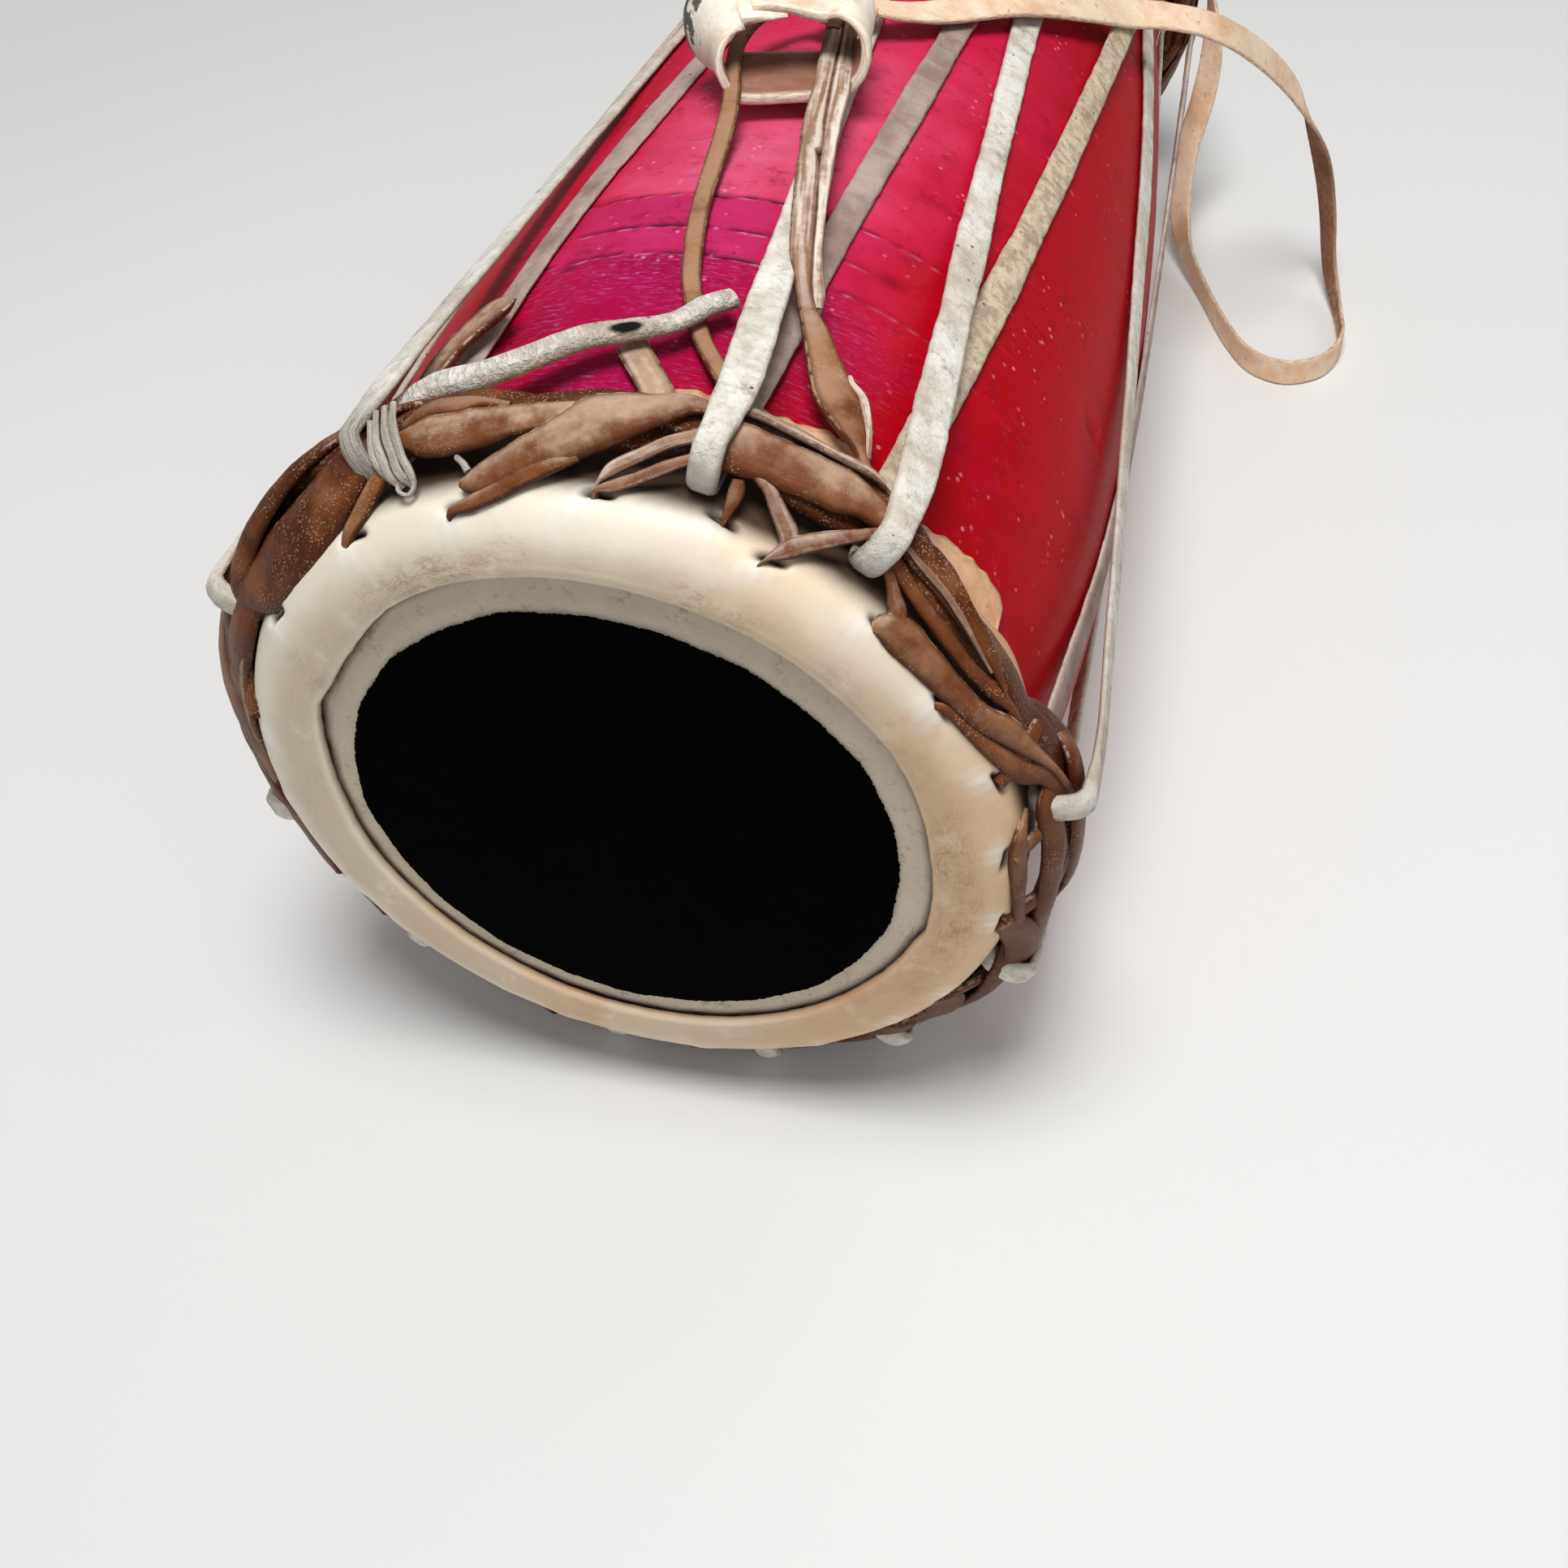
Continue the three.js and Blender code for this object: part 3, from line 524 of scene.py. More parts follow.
# Geometry trees share this start: named inputs, and one way in and out
def newTree(name, inputs):
    tree = bpy.data.node_groups.new(name, "GeometryNodeTree")
    tree.interface.new_socket("Geometry", in_out="INPUT", socket_type="NodeSocketGeometry")
    tree.interface.new_socket("Geometry", in_out="OUTPUT", socket_type="NodeSocketGeometry")
    for label, (kind, value) in inputs.items():
        socket = tree.interface.new_socket(label, in_out="INPUT", socket_type="NodeSocket" + kind)
        if value is not None:
            socket.default_value = value
    return tree, GrowKit(tree)


class GrowKit(NodeKit):
    def __init__(self, tree):
        super().__init__(tree)
        self.entry = tree.nodes.new("NodeGroupInput")

    def given(self, label):
        return Wire(self, self.entry.outputs[label])

    def named(self, name, kind="FLOAT"):
        return self.node("GeometryNodeInputNamedAttribute", {"data_type": kind}, {"Name": name})

    def store(self, geometry, name, value, kind="FLOAT"):
        values = {"Geometry": geometry, "Name": name, "Value": value}
        return self.node("GeometryNodeStoreNamedAttribute", {"data_type": kind}, values)

    def close(self, geometry, finish):
        whole = self.node("GeometryNodeRealizeInstances", None, {"Geometry": geometry})
        smooth = self.node("GeometryNodeSetShadeSmooth", None, {"Geometry": whole})
        painted = self.node("GeometryNodeSetMaterial", None, {"Geometry": smooth, "Material": finish})
        leave = self.tree.nodes.new("NodeGroupOutput")
        self.put(leave.inputs["Geometry"], painted)


# Thong: a rounded flat section swept along each line, turned to its facing, with rough edges and lumps
def thongTree():
    inputs = {
        "Step": ("Float", 2.0),
        "Sides": ("Int", 16),
        "Squareness": ("Float", 0.55),
        "Edge Wobble": ("Float", 0.08),
        "Lumps": ("Float", 0.15),
        "Seed": ("Float", 0.0),
        "Finish": ("Material", None),
    }
    tree, k = newTree("thong", inputs)
    line = k.node("GeometryNodeMeshToCurve", None, {"Mesh": k.given("Geometry")})
    values = {"Curve": line, "Length": k.given("Step")}
    line = k.node("GeometryNodeResampleCurve", {"mode": "LENGTH"}, values)
    ahead = k.node("GeometryNodeInputTangent")
    side = k.vec("NORMALIZE", k.vec("CROSS_PRODUCT", ahead, k.named("facing", "FLOAT_VECTOR")))
    line = k.store(line, "centre", k.node("GeometryNodeInputPosition"), "FLOAT_VECTOR")
    line = k.store(line, "side", side, "FLOAT_VECTOR")
    line = k.store(line, "up", k.vec("CROSS_PRODUCT", side, ahead), "FLOAT_VECTOR")
    line = k.store(line, "along", k.node("GeometryNodeSplineParameter", None, None, "Length"))
    values = {"Resolution": k.given("Sides"), "Radius": 1.0}
    section = k.node("GeometryNodeCurvePrimitiveCircle", {"mode": "RADIUS"}, values)
    px, py = k.axes(k.node("GeometryNodeInputPosition"))[:2]
    square = k.given("Squareness")
    section = k.store(section, "across", k.math("SIGN", px) * k.math("ABSOLUTE", px) ** square)
    section = k.store(section, "rise", k.math("SIGN", py) * k.math("ABSOLUTE", py) ** square)
    values = {"Curve": line, "Profile Curve": section, "Fill Caps": True}
    body = k.node("GeometryNodeCurveToMesh", None, values)
    across = k.named("across")
    along = k.named("along")
    half = k.named("halfWidth")
    layer = k.named("tint") * 97 + k.given("Seed")
    ragged = k.noise(k.joined(along * 0.16, k.math("SIGN", across) * 5, layer), 1.0, 4, 0.65) - 0.5
    width = across * half * (1 + ragged * 2 * k.given("Edge Wobble"))
    lump = k.noise(k.joined(along * 0.11, across * half * 0.2, layer + 11), 1.0, 3, 0.55) - 0.5
    cup = k.named("curl") * (across * across - 0.4) * half
    height = k.named("rise") * k.named("halfThick") + lump * 2 * k.given("Lumps") + cup
    sideways = k.grown(k.named("side", "FLOAT_VECTOR"), width)
    upwards = k.grown(k.named("up", "FLOAT_VECTOR"), height)
    spot = k.vec("ADD", k.named("centre", "FLOAT_VECTOR"), k.vec("ADD", sideways, upwards))
    body = k.node("GeometryNodeSetPosition", None, {"Geometry": body, "Position": spot})
    k.close(body, k.given("Finish"))
    return tree


# Turned: a profile of (radius, along the axis) spun round the axis, with low dents
def turnedTree():
    inputs = {
        "Segments": ("Int", 360),
        "Dents": ("Float", 0.0),
        "Dent Size": ("Float", 0.02),
        "Seed": ("Float", 0.0),
        "Finish": ("Material", None),
    }
    tree, k = newTree("turned", inputs)
    profile = k.node("GeometryNodeMeshToCurve", None, {"Mesh": k.given("Geometry")})
    radius, axial = k.axes(k.node("GeometryNodeInputPosition"))[:2]
    profile = k.store(profile, "profileRadius", radius)
    profile = k.store(profile, "profileAlong", axial)
    values = {"Resolution": k.given("Segments"), "Radius": 1.0}
    circle = k.node("GeometryNodeCurvePrimitiveCircle", {"mode": "RADIUS"}, values)
    turn = k.node("GeometryNodeInputIndex") * (2 * math.pi) / k.given("Segments")
    circle = k.store(circle, "turn", turn)
    body = k.node("GeometryNodeCurveToMesh", None, {"Curve": circle, "Profile Curve": profile})
    turn = k.named("turn")
    spoke = k.joined(k.math("SINE", turn), 0.0, k.math("COSINE", turn))
    axialSeed = k.joined(0.0, k.named("profileAlong"), k.given("Seed"))
    flat = k.vec("ADD", k.grown(spoke, k.named("profileRadius")), axialSeed)
    dent = (k.noise(flat, k.given("Dent Size"), 4, 0.55) - 0.5) * 2 * k.given("Dents")
    size = k.named("profileRadius") + dent * k.rise(k.named("profileRadius"), 1, 20)
    spot = k.vec("ADD", k.grown(spoke, size), k.joined(0.0, k.named("profileAlong"), 0.0))
    body = k.node("GeometryNodeSetPosition", None, {"Geometry": body, "Position": spot})
    body = k.node("GeometryNodeMergeByDistance", None, {"Geometry": body, "Distance": 0.002})
    k.close(body, k.given("Finish"))
    return tree


thong = thongTree()
turned = turnedTree()


# Runs a tree on a line mesh and keeps the result as a plain mesh
def grow(name, lines, tree, values):
    guide = bpy.data.objects.new(name + "_guide", lines)
    scene.collection.objects.link(guide)
    shaper = guide.modifiers.new("shape", "NODES")
    shaper.node_group = tree
    for item in tree.interface.items_tree:
        if item.item_type == "SOCKET" and item.in_out == "INPUT" and item.name in values:
            shaper[item.identifier] = values[item.name]
    depsgraph = bpy.context.evaluated_depsgraph_get()
    evaluated = guide.evaluated_get(depsgraph)
    mesh = bpy.data.meshes.new_from_object(evaluated, preserve_all_data_layers=True, depsgraph=depsgraph)
    mesh.name = name
    bpy.data.objects.remove(guide)
    bpy.data.meshes.remove(lines)
    return mesh


def facesOut(mesh):
    work = bmesh.new()
    work.from_mesh(mesh)
    bmesh.ops.recalc_face_normals(work, faces=work.faces)
    work.to_mesh(mesh)
    work.free()


def settle(name, mesh, pose, replaced=()):
    mesh.transform(pose)
    facesOut(mesh)
    piece = bpy.data.objects.new(name, mesh)
    scene.collection.objects.link(piece)
    if replaced:
        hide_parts(*replaced)
    return piece


# A smooth route through rows of numbers, every column carried along
def smoothRoute(rows, perSpan=8):
    rows = np.array(rows, float)
    padded = np.vstack([2 * rows[0] - rows[1], rows, 2 * rows[-1] - rows[-2]])
    out = []
    for i in range(len(rows) - 1):
        a, b, c, d = padded[i : i + 4]
        for t in np.arange(perSpan) / perSpan:
            bend = 2 * a - 5 * b + 4 * c - d
            sweep = -a + 3 * b - 3 * c + d
            out.append(0.5 * (2 * b + (c - a) * t + bend * t**2 + sweep * t**3))
    out.append(rows[-1])
    return np.array(out)


# A strand of thong: rows of place, facing, half width, half thickness, curl, pale
def strand(rows, tint=0.5, perSpan=8):
    return {"rows": smoothRoute(rows, perSpan), "tint": tint}


columns = {"halfWidth": 6, "halfThick": 7, "curl": 8, "pale": 9}


def thongMesh(name, strands, sizes, finish):
    lines = bpy.data.meshes.new(name + "_lines")
    rows = np.vstack([s["rows"] for s in strands])
    tints = np.concatenate([np.full(len(s["rows"]), s["tint"]) for s in strands])
    edges = []
    first = 0
    for s in strands:
        count = len(s["rows"])
        edges += [(first + i, first + i + 1) for i in range(count - 1)]
        first += count
    lines.from_pydata(rows[:, :3].tolist(), edges, [])
    facing = lines.attributes.new("facing", "FLOAT_VECTOR", "POINT")
    facing.data.foreach_set("vector", rows[:, 3:6].astype(np.float32).ravel())
    for label, column in columns.items():
        layer = lines.attributes.new(label, "FLOAT", "POINT")
        layer.data.foreach_set("value", rows[:, column].astype(np.float32))
    layer = lines.attributes.new("tint", "FLOAT", "POINT")
    layer.data.foreach_set("value", tints.astype(np.float32))
    return grow(name, lines, thong, {**sizes, "Finish": finish})


# Places on the drum: angles in degrees clockwise from the top, seen from the large head
def outward(angle):
    a = math.radians(angle)
    return np.array([math.sin(a), 0.0, math.cos(a)])


def place(angle, y, radius):
    return outward(angle) * radius + np.array([0.0, y, 0.0])


def row(at, facing, halfWidth, halfThick, curl=0.0, pale=0.0):
    return [*at, *facing, halfWidth, halfThick, curl, pale]


barrel = {
    "length": 470.0,
    "wall": 12.0,
    "belly": 88.8,
    "bellyAt": 110.0,
    "neck": 36.0,
    "largeNeck": 82.0,
    "smallNeck": 62.5,
    "rimRound": 8.0,
    "rimFront": 1.2,
}


def woodRadius(y):
    near = y < barrel["bellyAt"]
    nearSpan = barrel["bellyAt"] - barrel["neck"]
    farSpan = barrel["length"] - barrel["neck"] - barrel["bellyAt"]
    span = nearSpan if near else farSpan
    neck = barrel["largeNeck"] if near else barrel["smallNeck"]
    share = min(abs(y - barrel["bellyAt"]) / span, 1.0)
    return barrel["belly"] - (barrel["belly"] - neck) * share**2


# Each head's own sizes, in millimetres
largeHead = {
    "prefix": "large",
    "flip": False,
    "neck": barrel["largeNeck"],
    "collarEdge": 66.0,
    "paste": 60.0,
    "hoop": 92.5,
    "laceOver": 98.4,
    "laceUnder": 86.6,
}
smallHead = {
    "prefix": "small",
    "flip": True,
    "neck": barrel["smallNeck"],
    "collarEdge": 48.0,
    "paste": 43.0,
    "hoop": 73.0,
    "laceOver": 78.9,
    "laceUnder": 67.1,
}
hoop = {"at": 21.0, "halfWidth": 8.8, "laceFront": 10.9, "laceBehind": 31.1, "bend": 4.0}
hoopBack = hoop["at"] + hoop["halfWidth"]


def headPlace(head, angle, y, radius):
    return place(angle, barrel["length"] - y if head["flip"] else y, radius)


def headAxis(head):
    return np.array([0.0, -1.0 if head["flip"] else 1.0, 0.0])


# Cords first: the carrying strap, and the loose tail of the lace
strap = {
    "width": 10.0, "thick": 1.7, "curl": 0.03, "gathered": 0.6, "fleshy": (10, 11, 12),
    "bendStart": (0.0042, -0.0315, 0.187), "bendEnd": (0.107, 0.113, 0.109),
}
strapRoute = [
    [[4.2, -31.5, 187], [0.1, 0.05, 1]],
    [[12, -27, 183], [0.14, 0.05, 0.99]],
    [[24, -14, 177], [0.28, 0.05, 0.96]],
    [[39.5, 12, 168.5], [0.45, 0.05, 0.89]],
    [[53.5, 38, 156.5], [0.62, 0.05, 0.79]],
    [[65.5, 66, 142.5], [0.77, 0.05, 0.64]],
    [[77, 78, 137], [0.8, 0, 0.6]],
    [[92.5, 89, 129], [0.85, -0.1, 0.5]],
    [[107, 113, 109], [0.9, -0.15, 0.35]],
    [[120, 137, 84], [0.94, -0.05, 0.38]],
    [[130, 151, 57], [0.7, 0.7, 0.47]],
    [[136, 156, 32], [0.75, 0.65, 0.1]],
    [[140, 146, 12], [0.9, 0.4, -0.18]],
    [[145.5, 123, 5.6], [0.98, 0.15, 0]],
    [[147, 105, 5.4], [0.99, -0.15, 0]],
    [[141, 90.5, 5.4], [0.72, -0.69, 0]],
    [[128, 84, 5.4], [0.05, -1, 0]],
    [[115, 89.5, 5.4], [-0.65, -0.75, 0]],
    [[105, 105, 5.4], [-0.89, -0.45, 0]],
    [[95, 128, 5.6], [-0.92, -0.4, 0]],
    [[85, 150, 10], [-0.85, -0.4, 0.2]],
    [[80, 167, 21], [-0.55, -0.5, 0.65]],
    [[80.5, 182, 36], [-0.45, -0.7, 0.55]],
    [[84, 190, 52], [-0.4, -0.82, 0.4]],
    [[85.5, 196, 67], [-0.6, -0.7, 0.39]],
    [[83.5, 206, 81], [-0.9, -0.35, 0.05]],
    [[80.2, 212.5, 89], [-0.98, 0, -0.17]],
    [[78.7, 214.8, 95], [-0.98, 0, -0.17]],
]


def makeStrap():
    rows = [row(at, way, strap["width"] / 2, strap["thick"] / 2, strap["curl"]) for at, way in strapRoute]
    rows[0][columns["halfWidth"]] *= strap["gathered"]
    for i in strap["fleshy"]:
        rows[i][columns["pale"]] = -1.0
    run = strand(rows, 0.4)
    sizes = {"Step": 1.8, "Sides": 16, "Squareness": 0.45, "Edge Wobble": 0.05, "Lumps": 0.12, "Seed": 3.0}
    mesh = thongMesh("carrying_strap_hide", [run], sizes, paleStrap)
    piece = settle("carrying_strap_hide", mesh, mmToObject, ["carrying_strap"])
    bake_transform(piece)


# Angle, distance behind the large hoop, height over the wood
tail = {"width": 8.2, "thick": 5.4, "stout": 1.06, "slimmer": 0.42, "slimBy": 6, "mean": 0.82}
tailRoute = [
    [-29.5, -1, 9.8],
    [-24.5, 4, 10.3],
    [-19, 6, 9.5],
    [-13.2, 11, 8.2],
    [-7.4, 17, 7.3],
    [-2.2, 21, 6.3],
    [2.7, 24.8, 6.0],
    [6, 31.5, 6.0],
    [8.6, 36, 5.6],
]


def makeTail():
    rows = []
    for i, (angle, behind, lift) in enumerate(tailRoute):
        y = hoopBack + behind
        slim = tail["stout"] - tail["slimmer"] * min(1.0, i / tail["slimBy"])
        at = place(angle, y, woodRadius(y) + lift)
        half, halfThick = tail["width"] / 2 * slim, tail["thick"] / 2 * slim
        rows.append(row(at, outward(angle), half, halfThick, 0.0, 1.0))
    run = strand(rows, 0.7)
    sizes = {"Step": 0.4, "Sides": 24, "Squareness": 0.9, "Edge Wobble": 0.14, "Lumps": 0.45, "Seed": 8.0}
    mesh = thongMesh("lace_tail_hide", [run], sizes, whiteLace)
    piece = settle("lace_tail_hide", mesh, drumToObject, ["lace_tail"])
    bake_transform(piece)


makeStrap()
makeTail()
print("cords laid")


# Wavy number round the drum, the same each run
def ripple(angle, waves, seed):
    rng = np.random.default_rng(seed)
    total = np.zeros_like(angle, dtype=float)
    for wave in waves:
        total += np.sin(np.radians(angle) * wave + rng.uniform(0, 2 * math.pi)) / len(waves) ** 0.5
    return total


def spin(name, profile, closed, sizes, finish):
    lines = bpy.data.meshes.new(name + "_profile")
    count = len(profile)
    edges = [(i, i + 1) for i in range(count - 1)]
    if closed:
        edges.append((count - 1, 0))
    lines.from_pydata([(r, y, 0.0) for r, y in profile], edges, [])
    return grow(name, lines, turned, {**sizes, "Finish": finish})


def vertexArray(mesh):
    flat = np.empty(len(mesh.vertices) * 3, np.float64)
    mesh.vertices.foreach_get("co", flat)
    return flat.reshape(-1, 3)


def setVertices(mesh, points):
    mesh.vertices.foreach_set("co", points.astype(np.float32).ravel())
    mesh.update()


def layerOf(mesh, name, values):
    layer = mesh.attributes.get(name) or mesh.attributes.new(name, "FLOAT", "POINT")
    layer.data.foreach_set("value", values.astype(np.float32))


# The small head is made as the large one is, then turned end for end
def atHead(head, points):
    if not head["flip"]:
        return points
    return points * np.array([1.0, -1.0, 1.0]) + np.array([0.0, barrel["length"], 0.0])


def polar(points):
    angle = np.degrees(np.arctan2(points[:, 0], points[:, 2]))
    return angle, np.hypot(points[:, 0], points[:, 2])


def turnFrom(middle, angle):
    return (angle - middle + 180) % 360 - 180


# Shell: outer barrel rim to rim, and the bore behind it; the steps are closer where marks are cut
shell = {
    "steps": ((12, 70, 22), (70.5, 118, 118), (120, 458, 60)), "boreFrom": 30, "boreSteps": 14,
    "wander": 0.6, "groove": 0.72, "burr": 0.45, "burrBefore": 0.9,
}
# Place along the axis, depth, middle angle, half reach in degrees
turningMarks = [
    (85.8, 0.6, 0, 34),
    (96.4, 0.5, -4, 28),
    (110.3, 0.6, 4, 34),
]
# Angle, place along the axis, size, depth
shellDents = [
    (26.5, 97.6, 5.0, 0.9),
    (-1.2, 110.4, 4.0, 0.7),
    (0.9, 87.2, 3.4, 0.6),
    (-19.4, 83.8, 3.6, 0.5),
    (14.6, 109.2, 4.2, 0.6),
    (68.7, 116.3, 4.6, 0.8),
    (140.0, 210.0, 6.0, 0.8),
    (205.0, 160.0, 5.0, 0.7),
    (262.0, 250.0, 7.0, 0.8),
    (310.0, 330.0, 5.0, 0.6),
]


def makeShell():
    length, wall = barrel["length"], barrel["wall"]

    def rim(neck, flip):
        arc = []
        for t in np.linspace(0, math.pi / 2, 9):
            r = neck - wall + wall * math.sin(t)
            y = barrel["rimFront"] + barrel["rimRound"] * (1 - math.cos(t))
            arc.append((r, length - y if flip else y))
        return arc[::-1] if flip else arc

    outer = np.concatenate([np.linspace(*step) for step in shell["steps"]])
    bore = np.linspace(length - shell["boreFrom"], shell["boreFrom"], shell["boreSteps"])
    profile = rim(barrel["largeNeck"], False)
    profile += [(woodRadius(y), y) for y in outer]
    profile += rim(barrel["smallNeck"], True)
    profile += [(woodRadius(y) - wall, y) for y in bore]
    sizes = {"Segments": 400, "Dents": 0.35, "Dent Size": 0.02, "Seed": 4.0}
    mesh = spin("lacquered_shell", profile, True, sizes, lacquer)
    points = vertexArray(mesh)
    angle, radius = polar(points)
    y = points[:, 1]
    wood = np.array([woodRadius(v) for v in y])
    outside = np.clip((radius - wood + 3) / 2, 0, 1)
    cut = np.zeros_like(y)
    carved = np.zeros_like(y)
    raised = np.zeros_like(y)
    for at, depth, centre, reach in turningMarks:
        wander = at + shell["wander"] * np.sin(np.radians(angle * 2 + at))
        share = np.clip(1.2 - np.abs(turnFrom(centre, angle)) / reach, 0, 1)
        share = share * np.clip(0.8 + 0.7 * ripple(angle, (13, 29, 61, 97), int(at)), 0, 1)
        line = np.exp(-(((y - wander) / shell["groove"]) ** 2)) * share
        cut += depth * line
        carved = np.maximum(carved, line)
        flaked = np.clip(0.3 + 0.9 * ripple(angle, (41, 73, 107, 139), int(at) + 9), 0, 1)
        burr = np.exp(-(((y - wander + shell["burrBefore"]) / shell["burr"]) ** 2))
        raised = np.maximum(raised, burr * share * flaked)
    for dentAngle, dentAt, size, depth in shellDents:
        away = np.hypot(np.radians(turnFrom(dentAngle, angle)) * radius, (y - dentAt) * 1.8)
        pit = np.exp(-((away / size) ** 2))
        cut += depth * pit
        carved = np.maximum(carved, np.clip(pit * 1.4 - 0.5, 0, 1) * 0.7)
    share = 1 - cut * outside / np.maximum(radius, 1)
    points[:, 0] *= share
    points[:, 2] *= share
    setVertices(mesh, points)
    layerOf(mesh, "carved", carved * outside)
    layerOf(mesh, "raised", raised * outside)
    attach(settle("lacquered_shell", mesh, drumToObject, ["wooden_shell"]), "drum")


# Slits in the collar: angle and how far behind the face
largeSlits = [
    (-55.6, 2.6), (-33.3, 3.6), (-15.5, 3.2), (3.2, 6.4), (18.9, 8.0), (26.3, 4.6), (42.9, 4.6),
    (56.8, 2.8), (73.1, 4.2), (87.6, 2.2), (103, 3.4), (126, 4.0), (137, 3.0), (155, 4.4), (177, 3.4),
    (202, 3.0), (213, 4.4), (235, 3.6), (246, 3.0), (266, 4.0), (281, 3.2),
]
smallSlits = [
    (8, 3.6), (36, 4.2), (66, 3.0), (95, 4.0), (128, 3.4), (160, 4.4),
    (188, 3.2), (218, 3.8), (246, 3.0), (276, 4.2), (304, 3.4), (334, 4.0),
]
# Collar opening: angle, and how far its edge stands outside the round
collarOpening = [
    (-180, 0.0), (-140, -0.6), (-95, -1.0), (-80, -0.2), (-67, 1.9), (-60, 0.5), (-49, 0.8), (-35, 3.2),
    (-6, 4.4), (19, 4.0), (40, 3.6), (60, 3.0), (85, 0.9), (107, 1.9), (112, 0.6), (130, 0.0), (180, 0.0),
]
collar = {
    "front": -2.3, "back": -0.3, "thick": 2.0, "over": 3.5, "hem": 30.0, "rimBack": 9.2,
    "round": ((0.0, -1.3), (0.2, -1.9), (0.7, -2.24)), "uneven": (0.4, 0.12),
    "wavyFrom": 22, "wavyOver": 8, "wavy": 1.1,
}
# Each slit: its cut, the lip raised in front of it and the small folds beside that
slitShape = {
    "half": 3.3, "gap": 1.05, "deep": 1.7, "bow": 0.025,
    "lip": 0.35, "lipWide": 3.6, "lipBefore": 2.6, "lipDeep": 3.0,
    "fold": 0.03, "foldWide": 5.5, "foldBefore": 4.0, "foldDeep": 3.6,
}


def slitMarks(along, down, lean):
    size = slitShape
    cut = np.exp(-((along / size["half"]) ** 4)) * np.exp(-((down / size["gap"]) ** 2))
    lip = np.exp(-(((along - lean) / size["lipWide"]) ** 2))
    lip = lip * np.exp(-(((down + size["lipBefore"]) / size["lipDeep"]) ** 2))
    folds = np.exp(-((along / size["foldWide"]) ** 2))
    folds = folds * np.exp(-(((down + size["foldBefore"]) / size["foldDeep"]) ** 2))
    return cut, lip, folds * np.cos(along * 1.5 + lean)


